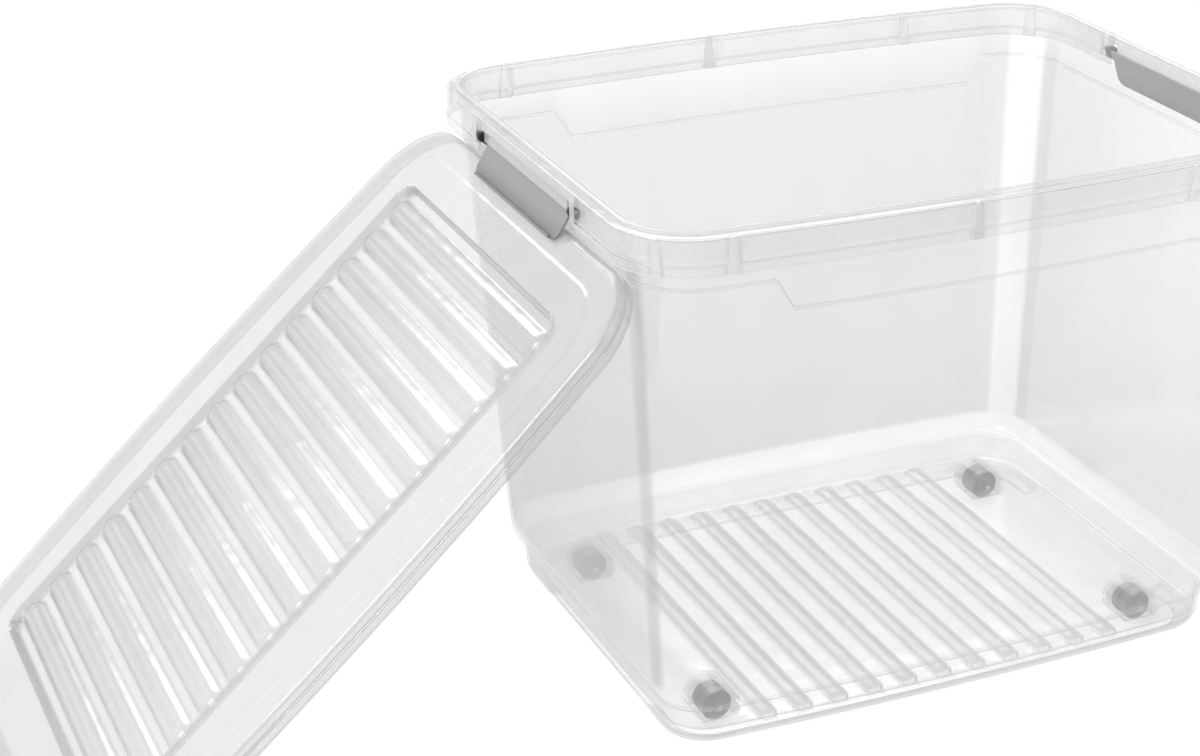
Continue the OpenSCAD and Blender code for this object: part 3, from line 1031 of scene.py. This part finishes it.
@dataclass
class BinShell:
    """The clear bin: rim with skirt, collar, walls, feet, ribbed floor and roller housings."""

    height: float = 378.0
    rim: RimPlan = field(default_factory=lambda: RimPlan(241.5, 184.0, 44.0))
    wall: float = 1.8
    draft: float = 21.5
    ledge_z: float = 30.0
    ledge_in: float = 8.7
    foot_radius: float = 10.0
    foot_gap: float = 1.2
    foot_flat: float = 2.6
    arch_width: float = 176.0
    arch_height: float = 9.0
    collar_short: float = 39.5
    collar_long: float = 60.0
    collar_out: float = 1.0
    collar_jog: float = 83.0
    collar_slant: float = 12.0
    skirt_out: float = 8.5
    skirt_depth: float = 27.5
    shoulder_drop: float = 3.0
    band_height: float = 6.4
    band_out: float = 1.0
    lip_width: float = 3.5
    lip_out: float = 1.6
    rib_first: float = 51.6
    rib_pitch: float = 162.0
    rib_count: int = 3
    rib_width: float = 8.8
    rib_out: float = 0.7
    floor_z: float = 12.0
    floor_t: float = 2.0
    floor_rib_first: float = 100.0
    floor_rib_pitch: float = 26.7
    floor_rib_count: int = 11
    floor_rib_half: float = 148.0
    floor_rib_width: float = 15.4
    floor_rib_height: float = 4.0
    # Haze-and-shade values: floor ribs with clearer flats and greyer slopes, partly haze and partly
    # painted shade; a painted highlight along the ledge; painted reflection bands round the upright
    # corners; painted shade greying the far long wall; greyer skirt ribs, partly haze and partly
    # painted shade.
    rib_haze_and_shade: Point2 = (-0.4, 0.38)
    ledge_highlight: float = -0.12
    corner_reflection: Point2 = (0.36, -0.06)
    corner_turns: Point3 = (3.0, 24.0, 60.0)
    wall_haze_and_side_shade: Point2 = (0.09, 0.16)
    rim_rib_haze_and_shade: float = 0.5
    clip_axis_out: float = 6.5
    clip_axis_drop: float = 16.0
    clip_width: float = 147.0
    slot_width: float = 10.0
    slot_rise: float = 6.0
    lug_width: float = 7.5
    lug_wall: float = 2.4
    lug_inner: float = 2.5
    lug_proud: float = 1.2
    cut_reach: Point2 = (4.0, 10.0)
    tongue_top: float = 1.0
    hole_wall: float = 1.4
    overlap: float = 1.0
    pin_gap: float = 0.05
    pin_radius: float = 2.0
    roller_radius: float = 11.0
    roller_width: float = 20.0
    roller_gap: float = 2.0
    roller_side_gap: float = 2.2
    housing_extra: float = 0.2
    housing_foot: float = 2.0
    axle_radius: float = 2.0
    axle_end: float = 1.2

    def __post_init__(self) -> None:
        """Works out the sizes that follow from the others."""
        straight = self.rim.straight()
        self.jog_far = (self.collar_jog - self.rim.corner) / straight - 1
        self.jog_near = (self.collar_jog + self.collar_slant - self.rim.corner) / straight - 1
        self.jog_right = 1 - self.collar_slant / straight
        self.rim.extra_shares = (self.jog_far, self.jog_near, self.jog_right)
        self.wall_top_z = self.height - self.shoulder_drop - 2.0
        self.wall_foot_z = self.ledge_z + 16.0
        self.wall_foot_in = self.wall_in(self.wall_foot_z)
        self.base_in = self.wall_foot_in + self.ledge_in
        self.floor_under = self.floor_z - self.floor_t
        self.foot_centre_in = self.base_in + 0.7 + self.foot_radius
        self.floor_join_in = self.foot_centre_in + 4.0
        self.tongue_half = self.clip_width / 2 + 0.5
        self.slot_half = self.tongue_half + self.slot_width
        self.floor_ribs = RibRow(
            self.floor_rib_first - self.rim.half_length,
            self.floor_rib_pitch,
            self.floor_rib_count,
            self.floor_rib_half,
            self.floor_rib_width,
            self.floor_rib_height,
        )
        self.axis_z = self.height - self.clip_axis_drop
        self.left_axis = hinge_place("clip_left_hinge")
        self.right_axis = hinge_place("clip_right_hinge")
        self.centre_x = (self.left_axis.x + self.right_axis.x) / 2

    def wall_in(self, z: float) -> float:
        """Returns how far the wall's outer face is set in at a height."""
        return 1.0 + self.draft * (self.wall_top_z - z) / (self.wall_top_z - self.wall_foot_z)

    def collar_depth(self, station: Station) -> float:
        """Returns the depth of the collar at a station of the rim.

        Args:
            station: The station.

        Returns:
            The depth, greater along the middle of the long sides.
        """
        sx, sy, angle = station
        if abs(sy) != 1 or abs(abs(angle) - 90) > 0.01:
            return self.collar_short
        left = (sx - self.jog_far) / (self.jog_near - self.jog_far)
        right = (1 - sx) / (1 - self.jog_right)
        share = min(max(min(left, right), 0.0), 1.0)
        return self.collar_short + (self.collar_long - self.collar_short) * share

    def section(self, station: Station) -> list[Point2]:
        """Returns the bin's closed section at a station.

        Args:
            station: The station.

        Returns:
            The section's points, as inset and height.
        """
        top, skirt = self.height, -self.skirt_out
        upper = skirt + self.band_out
        step_z = top - self.collar_depth(station)
        shoulder = top - self.shoulder_drop
        bottom = top - self.skirt_depth
        band_z = bottom + self.band_height
        lip, out = self.lip_width - self.lip_out, self.lip_out
        t, base, foot = self.wall, self.base_in, self.foot_radius
        centre_in, gap = self.foot_centre_in, self.foot_gap
        foot_in, ledge = self.wall_foot_in, self.ledge_z
        thin = foot - t
        corners: list[Corner] = [
            (lip, top - 0.2, 1.4),
            (-out, top - 0.2, 1.4),
            (-out, shoulder, 0.6),
            (upper, shoulder, 1.0),
            (upper, band_z + 0.5, 0.3),
            (skirt, band_z, 0.3),
            (skirt, bottom, 0.5),
            (skirt + t, bottom, 0.5),
            (skirt + t, band_z - 0.8, 0.4),
            (upper + t, band_z, 0.4),
            (upper + t, self.wall_top_z, 0.8),
            (self.wall_in(self.wall_top_z) - self.collar_out, self.wall_top_z, 0.8),
            (self.wall_in(step_z) - self.collar_out, step_z, 0.5),
            (self.wall_in(step_z - 1.2), step_z - 1.2, 0.5),
            (foot_in, self.wall_foot_z, 4.0),
            (foot_in + 0.12 * self.ledge_in, ledge + 9.0, 2.0),
            (foot_in + 0.36 * self.ledge_in, ledge + 3.6, 2.0),
            (foot_in + 0.68 * self.ledge_in, ledge + 0.8, 1.0),
            (base, ledge - 0.2, 1.0),
            (base + 0.7, gap + foot, 2.0),
            (base + 0.7 + 0.3 * foot, gap + 0.3 * foot, 3.0),
            (centre_in, gap, 2.0),
            (centre_in + self.foot_flat, gap, 0.5),
            (centre_in + self.foot_flat, gap + t, 0.5),
            (centre_in, gap + t, 1.5),
            (base + 0.7 + t + 0.3 * thin, gap + t + 0.3 * thin, 2.0),
            (base + 0.7 + t, self.floor_under, 0.6),
            (self.floor_join_in, self.floor_under, 0.0),
            (self.floor_join_in, self.floor_z, 0.0),
            (base + t + 5.0, self.floor_z, 3.0),
            (base + t + 1.0, self.floor_z + 1.5, 2.5),
            (base + t + 0.3, self.floor_z + 6.0, 2.0),
            (base + t, ledge - 1.6, 1.5),
            (base + t - 1.4, ledge + 0.9, 1.5),
            (foot_in + 0.5 * self.ledge_in + t - 0.2, ledge + 3.6, 2.0),
            (foot_in + 0.2 * self.ledge_in + t, ledge + 9.0, 3.0),
            (foot_in + t, self.wall_foot_z, 4.0),
            (self.wall_in(step_z - 1.2) + t, step_z - 0.8, 0.5),
            (self.wall_in(step_z) - self.collar_out + t, step_z + 0.4, 0.5),
            (lip, self.wall_top_z, 4.0),
        ]
        return rounded(corners)

    def floor(self) -> bpy.types.Object:
        """Makes the floor as a flat slab.

        Returns:
            The object.
        """
        outline = [self.rim.point(s, self.floor_join_in - 1.5) for s in self.rim.stations()]
        count = len(outline)
        points = [(x, y, z) for z in (self.floor_under, self.floor_z) for x, y in outline]
        faces: list[Face] = [
            (k, (k + 1) % count, count + (k + 1) % count, count + k) for k in range(count)
        ]
        faces += [tuple(range(count - 1, -1, -1)), tuple(range(count, 2 * count))]
        return new_object("floor", points, faces)

    def rim_rib(self, turn: float, x: float, y: float) -> bpy.types.Object:
        """Makes one round-topped rib of the skirt.

        Args:
            turn: The angle of the skirt's outward normal, in degrees.
            x: The place of the rib's outer face along X.
            y: Its place along Y.

        Returns:
            The object.
        """
        high = self.skirt_depth - self.shoulder_drop
        top = 0.32 * self.rib_width
        outline: list[Point2] = [(-self.rib_width / 2, 0.0), (self.rib_width / 2, 0.0)]
        for k in range(13):
            angle = math.pi * k / 12
            outline.append((top * math.cos(angle), high - top + top * math.sin(angle)))
        depth = self.wall + self.band_out + self.rib_out
        layers = ((depth, 0.0), (0.3, 0.0), (0.0, 0.35))
        points: list[Point3] = []
        for back, shrink in layers:
            scale = 1 - shrink / (self.rib_width / 2)
            points += [(u * scale, -back, v if v == 0 else v - shrink) for u, v in outline]
        count = len(outline)
        faces = ring_faces(len(layers), count, closed=False)
        faces += [tuple(range(count - 1, -1, -1)), tuple(range(2 * count, 3 * count))]
        made = new_object("rim_rib", points, faces)
        spot = Matrix.Translation(Vector((x, y, self.height - self.skirt_depth)) * MM)
        made.data.transform(spot @ Matrix.Rotation(math.radians(turn) - math.pi / 2, 4, "Z"))
        return face_outwards(made)

    def rim_ribs(self) -> list[bpy.types.Object]:
        """Makes the rim's ribs on both long sides and at the corners.

        Returns:
            The objects.
        """
        proud = self.skirt_out + self.rib_out
        ribs = []
        for k in range(self.rib_count):
            x = self.rib_first + k * self.rib_pitch - self.rim.half_length
            share = x / self.rim.straight()
            y = self.rim.half_width + self.rim.bow * (1 - share * share) + proud
            ribs += [self.rim_rib(90.0, x, y), self.rim_rib(-90.0, x, -y)]
        for sx in BOTH:
            for sy in BOTH:
                turn = math.atan2(sy, sx)
                reach = self.rim.corner + proud
                x = sx * (self.rim.half_length - self.rim.corner) + reach * math.cos(turn)
                y = sy * (self.rim.half_width - self.rim.corner) + reach * math.sin(turn)
                ribs.append(self.rim_rib(math.degrees(turn), x, y))
        return ribs

    def lugs(self) -> list[bpy.types.Object]:
        """Makes the lugs that hold the clips' pins.

        Returns:
            The objects.
        """
        low, high = self.axis_z - self.pin_radius - self.lug_wall, self.wall_top_z + self.overlap
        inner = self.rim.half_length + self.lug_inner
        outer = self.rim.half_length + self.skirt_out + self.lug_proud
        made = []
        for sx in BOTH:
            for sy in BOTH:
                xs = sorted((sx * inner, sx * outer))
                ys = sorted((sy * self.slot_half, sy * (self.slot_half + self.lug_width)))
                made.append(box_solid("lug", (xs[0], ys[0], low), (xs[1], ys[1], high)))
        return made

    def clip_cuts(self) -> list[bpy.types.Object]:
        """Makes the solids that cut the tongue, its slots and the pin holes.

        Returns:
            One object for each end.
        """
        made = []
        near, far = (self.rim.half_length + reach for reach in self.cut_reach)
        foot, top = self.axis_z - self.tongue_top, self.axis_z + self.slot_rise
        below = 20.0
        for sx in BOTH:
            xs = sorted((sx * near, sx * far))
            low = (xs[0], -self.slot_half, foot - below)
            whole = box_solid("cut", low, (xs[1], self.slot_half, foot))
            for sy in BOTH:
                ys = sorted((sy * self.tongue_half, sy * self.slot_half))
                slot = box_solid("cut", (xs[0], ys[0], top - 2 * below), (xs[1], ys[1], top))
                carve(whole, slot, Cut.ADD)
                carve(whole, self.pin_hole(sx, sy), Cut.ADD)
            made.append(whole)
        return made

    def pin_hole(self, sx: int, sy: int) -> bpy.types.Object:
        """Makes the solid of one clip pin's blind hole.

        Args:
            sx: The bin's end, -1 or 1.
            sy: The clip's side, -1 or 1.

        Returns:
            The object.
        """
        length = self.lug_width - self.hole_wall + self.overlap
        y = sy * (self.slot_half - self.overlap + length / 2)
        x = sx * (self.rim.half_length + self.clip_axis_out)
        return rod((x, y, self.axis_z), self.pin_radius + self.pin_gap, length, HOLE_SIDES)

    def roller_places(self) -> list[Point3]:
        """Finds the rollers.

        Returns:
            The middle of each, from the middle of the bin.
        """
        places = []
        for joint in frame["joints"]:
            if joint["name"].startswith("roller_"):
                x, y, z = (v / MM for v in joint["pos_m"])
                places.append((x - self.centre_x, y, z))
        return places

    def housings(self) -> list[bpy.types.Object]:
        """Makes the outer solids of the roller housings.

        Returns:
            The objects.
        """
        thick = self.wall + self.housing_extra
        radius = self.roller_radius + self.roller_gap + thick
        half = self.roller_width / 2 + self.roller_side_gap + thick
        around, above = 30.0, 60.0
        made = []
        for place in self.roller_places():
            housing = rod(place, radius, 2 * half)
            x, y, _ = place
            low = (x - around, y - around, self.foot_gap + self.housing_foot)
            keep = box_solid("keep", low, (x + around, y + around, above))
            carve(housing, keep, Cut.KEEP_SHARED)
            made.append(housing)
        return made

    def roller_cuts(self) -> list[bpy.types.Object]:
        """Makes the solids that hollow the housings and drill their axle holes.

        Returns:
            The objects.
        """
        cavity = self.roller_radius + self.roller_gap
        half = self.roller_width / 2 + self.roller_side_gap
        made = []
        for place in self.roller_places():
            hollow = rod(place, cavity, 2 * half)
            length = 2 * (half + self.wall + self.axle_end)
            hole = rod(place, self.axle_radius + self.pin_gap, length, HOLE_SIDES)
            carve(hollow, hole, Cut.ADD)
            made.append(hollow)
        return made

    def cloud_and_shade(self, spot: Vector, normal: Vector) -> float:
        """Returns how much cloudier and greyer than its surroundings the bin is made at a point:
        partly haze, partly painted shade, painted highlight and painted reflection.

        Args:
            spot: The point, from the middle of the bin.
            normal: The surface's normal there.

        Returns:
            The change, below 0 where the plastic looks clearer.
        """
        x, y, z = spot
        rim = self.rim
        first = self.floor_rib_first - rim.half_length - self.floor_rib_pitch / 2
        ribbed = abs(y) < self.floor_rib_half - 2.0 and first < x < -first
        # Floor ribs: flats clearer, slopes greyer, partly haze and partly painted shade.
        if ribbed and self.floor_under - 0.5 < z < self.floor_z + 5.0:
            flat = min(abs(z - self.floor_z), abs(z - self.floor_under)) < 0.3
            return self.rib_haze_and_shade[0 if flat else 1]
        # Painted highlight: the ledge clearer and paler.
        if self.ledge_z - 1.0 < z < self.wall_foot_z + 1.0:
            return self.ledge_highlight
        if self.wall_foot_z < z < self.wall_top_z - self.skirt_depth:
            # Painted reflection: a grey band, then a slightly clearer one, round each upright
            # corner.
            turn = math.degrees(math.atan2(abs(normal.y), abs(normal.x)))
            start, middle, end = self.corner_turns
            if start < turn < end:
                return self.corner_reflection[0 if turn < middle else 1]
            # Painted shade: the far long wall greyer than the near one.
            return self.wall_haze_and_side_shade[0] + self.wall_haze_and_side_shade[1] * y / rim.half_width
        # Skirt ribs greyer, partly haze and partly painted shade.
        proud = max(abs(x) - rim.half_length, abs(y) - rim.half_width - rim.bow)
        at_rim = z > self.height - self.skirt_depth - 1.0
        return self.rim_rib_haze_and_shade if at_rim and proud > self.skirt_out + 0.3 else 0.0

    def build(self) -> bpy.types.Object:
        """Makes the whole bin as one solid, in its place in the frame.

        Returns:
            The object.
        """
        shell = self.rim.loft("bin_shell", self.section)
        reach = self.foot_radius * 2 + self.foot_flat * 4
        for sx in BOTH:
            x = sx * (self.rim.half_length - self.base_in - self.foot_radius / 2)
            low = (x - reach / 2, -self.arch_width / 2, -self.arch_height)
            high = (x + reach / 2, self.arch_width / 2, self.arch_height)
            carve(shell, box_solid("arch", low, high), Cut.REMOVE)
        for cut in self.clip_cuts():
            carve(shell, cut, Cut.REMOVE)
        carve(shell, self.floor(), Cut.ADD)
        carve(shell, join("rib_backs", self.floor_ribs.solids(self.floor_z)), Cut.ADD)
        carve(shell, join("additions", self.rim_ribs() + self.housings()), Cut.ADD)
        lugs = join("lugs", self.lugs())
        for cut in self.clip_cuts():
            carve(lugs, cut, Cut.REMOVE)
        carve(shell, lugs, Cut.ADD)
        carve(shell, join("rib_fronts", self.floor_ribs.solids(self.floor_under)), Cut.REMOVE)
        carve(shell, join("cuts", self.roller_cuts()), Cut.REMOVE)
        smooth(shell)
        mark_creases(shell, shaded_below_mm=self.floor_under - 0.5)
        mark_haze_and_shade(shell, self.cloud_and_shade)
        shell.data.transform(Matrix.Translation((self.centre_x * MM, 0, 0)))
        return shell


@dataclass
class LeaningLid:
    """The ribbed lid, standing on its lower edge and leaning on the bin's end wall."""

    shell: BinShell
    depth: float = 15.0
    skin: float = 2.0
    border: float = 19.0
    plateau: float = 1.0
    join_in: float = 30.0
    panel_half: float = 140.0
    panel_end: float = 46.0
    panel_depth: float = 6.0
    panel_corner: float = 14.0
    panel_slope: float = 3.0
    rib_count: int = 15
    rib_pitch: float = 26.4
    rib_width: float = 19.6
    rib_height: float = 4.5
    lean_gap: float = 0.4
    tuck: float = 2.5
    catch_room: float = 2.0
    catch_half_height: float = 7.0
    catch_reach: float = 2.2
    pad_width: float = 4.0
    pad_inner: float = 2.6
    pad_sunk: float = 0.2
    pad_rise: float = 0.5
    # Haze-and-shade values: clearer flats, greyer ribs with painted shade growing towards one long
    # edge, greyer recess slopes.
    flat_cloud: float = -0.15
    rib_haze_and_shade: Point2 = (0.42, 0.25)
    slope_cloud: float = 0.25

    def __post_init__(self) -> None:
        """Works out the plan and the lean."""
        rim = self.shell.rim
        out = self.shell.skirt_out
        self.plan = RimPlan(rim.half_length + out, rim.half_width + out, rim.corner + out)
        length = 2 * self.plan.half_length
        self.top_z = self.shell.height - self.shell.skirt_depth - self.tuck
        self.lean = math.acos(self.top_z / math.hypot(length, self.depth))
        self.lean += math.atan(self.depth / length)
        heel_z = self.top_z - self.depth * math.sin(self.lean)
        heel = rim.half_length - self.shell.wall_in(heel_z) + self.lean_gap
        self.top_x = self.shell.centre_x - heel - self.depth * math.cos(self.lean)

    def section(self, _station: Station) -> list[Point2]:
        """Returns the closed section of the lid's rim.

        Args:
            _station: The station, which changes nothing.

        Returns:
            The section's points, as inset and height.
        """
        t, d, p = self.skin, self.depth, self.plateau
        wall = self.shell.wall
        corners: list[Corner] = [
            (0.0, -d, 0.4),
            (0.0, -0.6 * d, 0.4),
            (0.9, -0.56 * d, 0.4),
            (0.9, -p - 1.2, 2.4),
            (5.6, -p, 2.6),
            (self.border, -p, 1.2),
            (self.border + 2.0, 0.0, 1.2),
            (self.join_in, 0.0, 0.0),
            (self.join_in, -t, 0.0),
            (self.border + 2.0, -t, 1.2),
            (self.border, -p - t, 1.2),
            (5.6, -p - t, 2.0),
            (0.9 + wall, -p - t - 1.6, 1.6),
            (0.9 + wall, -0.6 * d, 0.4),
            (wall, -0.66 * d, 0.4),
            (wall, -d, 0.4),
        ]
        return rounded(corners, 4)

    def panel_level(self, ribs: RibRow) -> Callable[[float, float], float]:
        """Returns the height of the plateau and its ribbed recess.

        Args:
            ribs: The ribs in the recess.

        Returns:
            A function of x and y.
        """
        half_x = self.plan.half_length - self.panel_end
        corner = self.panel_corner

        def level(x: float, y: float) -> float:
            """Returns the height of the upper face at a point.

            Args:
                x: The point's place along the lid.
                y: The point's place across it.

            Returns:
                The height.
            """
            qx, qy = abs(x) - (half_x - corner), abs(y) - (self.panel_half - corner)
            outside = math.hypot(max(qx, 0.0), max(qy, 0.0)) + min(max(qx, qy), 0.0) - corner
            share = min(max((0.5 - outside) / self.panel_slope, 0.0), 1.0)
            sunk = self.panel_depth * share * share * (3 - 2 * share)
            return -sunk + (ribs.rise(x, y) * share if share > 0 else 0.0)

        return level

    def panel(self) -> bpy.types.Object:
        """Makes the plateau with its ribbed recess.

        Returns:
            The object.
        """
        first = -(self.rib_count - 1) * self.rib_pitch / 2
        half = self.panel_half - 3.0
        ribs = RibRow(first, self.rib_pitch, self.rib_count, half, self.rib_width, self.rib_height)
        half_x = self.plan.half_length - self.panel_end + 2.0
        half_y = self.panel_half + 2.0
        outline = [self.plan.point(s, self.join_in - 2.0) for s in self.plan.stations()]
        edge = spread(half_x - 8.0, half_x, 0.8)
        inner = spread(-half_x + 8.0, half_x - 8.0, 1.5)
        xs = [-v for v in reversed(edge)] + inner[1:-1] + edge
        ys = ends_fine(half_y, half_y - 24.0, 1.0, 14.0)
        return shaped_slab("lid_panel", outline, xs, ys, self.panel_level(ribs), self.skin)

    def cloud_and_shade(self, spot: Vector, _normal: Vector) -> float:
        """Returns how much cloudier and greyer than its surroundings the flat-lying lid is made at
        a point: partly haze, partly painted shade that grows towards one long edge.

        Args:
            spot: The point, from the middle of the lid.
            _normal: The surface's normal, which changes nothing.

        Returns:
            The change, below 0 where the plastic looks clearer.
        """
        x, y, z = spot
        outside = abs(x) > self.plan.half_length - self.panel_end + 1.0
        on_border = z > -0.4 or abs(z + self.skin) < 0.4
        if outside or abs(y) > self.panel_half + 1.0 or on_border:
            return 0.0
        if min(abs(z + self.panel_depth), abs(z + self.panel_depth + self.skin)) < 0.3:
            return self.flat_cloud
        if abs(y) >= self.panel_half - 3.0:
            return self.slope_cloud
        # Painted shade: the ribs grow greyer towards one long edge.
        return self.rib_haze_and_shade[0] + self.rib_haze_and_shade[1] * y / self.panel_half

    def build(self) -> bpy.types.Object:
        """Makes the lid as one solid, in its leaning place.

        Returns:
            The object.
        """
        lid = self.plan.loft("lid_shell", self.section)
        carve(lid, self.panel(), Cut.ADD)
        catch = self.shell.tongue_half + self.catch_room
        pad, deep = catch + self.pad_width, self.catch_half_height
        end = self.plan.half_length
        for sx in BOTH:
            face = end - self.shell.wall
            xs = sorted((sx * (face - self.pad_inner), sx * (face + self.pad_sunk)))
            low = (xs[0], -pad, -self.depth + self.pad_rise)
            carve(lid, box_solid("pad", low, (xs[1], pad, -self.skin)), Cut.ADD)
            xs = sorted((sx * (end - self.catch_reach), sx * (end + self.catch_reach)))
            low = (xs[0], -catch, -deep)
            carve(lid, box_solid("catch", low, (xs[1], catch, deep)), Cut.REMOVE)
        smooth(lid)
        mark_creases(lid)
        mark_haze_and_shade(lid, self.cloud_and_shade)
        place = Matrix.Translation(Vector((self.top_x, 0, self.top_z)) * MM)
        place @= Matrix.Rotation(self.lean - math.pi / 2, 4, "Y")
        place @= Matrix.Translation((-self.plan.half_length * MM, 0, 0))
        lid.data.transform(place)
        return lid


@dataclass
class Moulding:
    """A small moulded or turned piece that keeps its CAD form, with its edges eased."""

    node: str
    name: str
    edge: float = 0.3
    sharp_deg: float = 32.0
    eased_deg: float = 40.0
    weld_mm: float = 0.002

    def build(self) -> bpy.types.Object:
        """Makes the piece from a copy of its CAD node's mesh.

        Returns:
            The object.
        """
        made = show(self.name, frame["nodes"][self.node].data.copy())
        smooth(made, self.sharp_deg, self.weld_mm)
        bevel = made.modifiers.new("eased", "BEVEL")
        bevel.width = self.edge * MM
        bevel.segments = 2
        bevel.limit_method = "ANGLE"
        bevel.angle_limit = math.radians(self.eased_deg)
        bevel.harden_normals = True
        settle(made)
        return made


# ------------------------------------------------------------------ the studio


@dataclass
class Studio:
    """Camera, lamps, floor and world."""

    image: tuple[int, int] = (1200, 756)
    focal_px: float = 2588.8
    axis_px: Point2 = (764.3, 394.9)
    yaw: float = 25.83
    pitch: float = 23.87
    roll: float = 0.51
    from_rim_end: Point3 = (-554.0, -1485.6, 904.9)
    sensor_mm: float = 36.0
    view_depth_m: float = 30.0
    floor_half_mm: float = 9000.0
    floor_colour: Point3 = (0.9, 0.9, 0.9)
    floor_glow: float = 0.67
    glow_strength: float = 1.29
    ambient: float = 0.45

    def camera(self, shell: BinShell) -> None:
        """Makes the camera at the photograph's place.

        Args:
            shell: The bin, whose rim end the camera's place is measured from.
        """
        data = bpy.data.cameras.new("camera")
        width, height = self.image
        data.sensor_width = self.sensor_mm
        data.lens = self.sensor_mm * self.focal_px / width
        data.shift_x = (width / 2 - self.axis_px[0]) / width
        data.shift_y = (self.axis_px[1] - height / 2) / width
        data.clip_end = self.view_depth_m
        camera = show("camera", data)
        yaw, pitch, roll = (math.radians(v) for v in (self.yaw, self.pitch, self.roll))
        right = Vector((math.cos(yaw), -math.sin(yaw), 0.0))
        ahead = Vector((math.sin(yaw), math.cos(yaw), 0.0)) * math.cos(pitch)
        ahead.z = -math.sin(pitch)
        up = right.cross(ahead)
        rolled = right * math.cos(roll) + up * math.sin(roll)
        up = rolled.cross(ahead)
        turn = Matrix((rolled, up, -ahead)).transposed().to_4x4()
        start = Vector((shell.centre_x - shell.rim.half_length, 0.0, 0.0))
        camera.matrix_world = Matrix.Translation((start + Vector(self.from_rim_end)) * MM) @ turn
        bpy.context.scene.camera = camera

    def lamp(self, name: str, place: Point3, aim: Point3, size: Point2, power: float) -> None:
        """Adds a soft box.

        Args:
            name: The lamp's name.
            place: Where it hangs, in metres.
            aim: What it points at, in metres.
            size: Its width and height, in metres.
            power: Its power, in watts.
        """
        data = bpy.data.lights.new(name, "AREA")
        data.shape = "RECTANGLE"
        data.size, data.size_y = size
        data.energy = power
        turn = (Vector(aim) - Vector(place)).to_track_quat("-Z", "Y").to_matrix().to_4x4()
        show(name, data).matrix_world = Matrix.Translation(place) @ turn

    def floor(self) -> None:
        """Lays the pale floor that shows white to the camera and keeps a soft shadow."""
        half = self.floor_half_mm
        corners = [(-half, -half, 0.0), (half, -half, 0.0), (half, half, 0.0), (-half, half, 0.0)]
        ground = new_object("floor", corners, [(0, 1, 2, 3)])
        material, bench = new_material("floor_white")
        matt = bench.add("ShaderNodeBsdfDiffuse", inputs={"Color": (*self.floor_colour, 1.0)})
        light = {"Color": (1.0, 1.0, 1.0, 1.0), "Strength": self.glow_strength}
        glow = bench.add("ShaderNodeEmission", inputs=light)
        bench.finish(bench.mixed(self.seen(bench) * self.floor_glow, matt, glow))
        ground.data.materials.append(material)

    def seen(self, bench: Bench) -> Wire:
        """Finds the rays that show the background straight, in gloss or through glass.

        Args:
            bench: The bench of the floor or the world.

        Returns:
            1 for such a ray and 0 for others.
        """
        rays = ("Is Camera Ray", "Is Glossy Ray", "Is Transmission Ray")
        straight, mirrored, through = (
            1.0 - bench.add("ShaderNodeLightPath", output=ray) for ray in rays
        )
        return 1.0 - straight * mirrored * through

    def world(self) -> None:
        """Makes the white surroundings."""
        world = bpy.data.worlds.new("surroundings")
        bpy.context.scene.world = world
        world.use_nodes = True
        bench = Bench(world.node_tree)
        strength = self.ambient + (1 - self.ambient) * self.seen(bench)
        light = {"Color": (1.0, 1.0, 1.0, 1.0), "Strength": strength}
        sky = bench.add("ShaderNodeBackground", inputs=light)
        bench.add("ShaderNodeOutputWorld", inputs={"Surface": sky})

    def set_up(self, shell: BinShell) -> None:
        """Sets up the camera, lamps, floor, world and view.

        Args:
            shell: The bin that they are set round.
        """
        self.camera(shell)
        middle = (shell.centre_x * MM, 0.0, 0.2)
        self.lamp("key", (-2.2, -0.6, 2.4), middle, (1.2, 1.6), 44.0)
        self.lamp("fill", (2.0, -2.0, 1.8), middle, (1.4, 1.8), 12.0)
        self.lamp("back", (0.6, 2.4, 2.2), middle, (2.4, 1.0), 26.0)
        self.floor()
        self.world()
        scene = bpy.context.scene
        scene.view_settings.view_transform = "Standard"
        scene.cycles.transparent_max_bounces = 40


def grey_pieces() -> Iterator[tuple[Moulding, Finish, str]]:
    """Lists the clips, rollers and axles.

    Yields:
        Each piece with its finish and its body.
    """
    for side in ("left", "right"):
        node = f"clip_{side}"
        yield Moulding(node, f"{node}_moulding"), Finish.CLIP, node
    for row in ("front", "back"):
        for side in ("left", "right"):
            roller, axle = f"roller_{row}_{side}", f"axle_{row}_{side}"
            yield Moulding(roller, f"{roller}_moulding"), Finish.ROLLER, roller
            yield Moulding(axle, f"{axle}_pin", 0.2), Finish.AXLE, "bin"


def main() -> None:
    """Builds every piece, dresses it and sets up the studio."""
    logging.basicConfig(level=logging.INFO, format="%(message)s")
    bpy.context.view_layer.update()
    finishes = make_finishes()
    shell = BinShell()
    Studio().set_up(shell)
    dress(shell.build(), finishes[Finish.CLEAR], Finish.CLEAR, "bin", "bin_body")
    dress(LeaningLid(shell).build(), finishes[Finish.LID], Finish.LID, "lid", "lid")
    for piece, finish, body in grey_pieces():
        dress(piece.build(), finishes[finish], finish, body, piece.node)
    bpy.context.view_layer.update()


if __name__ == "__main__":
    main()
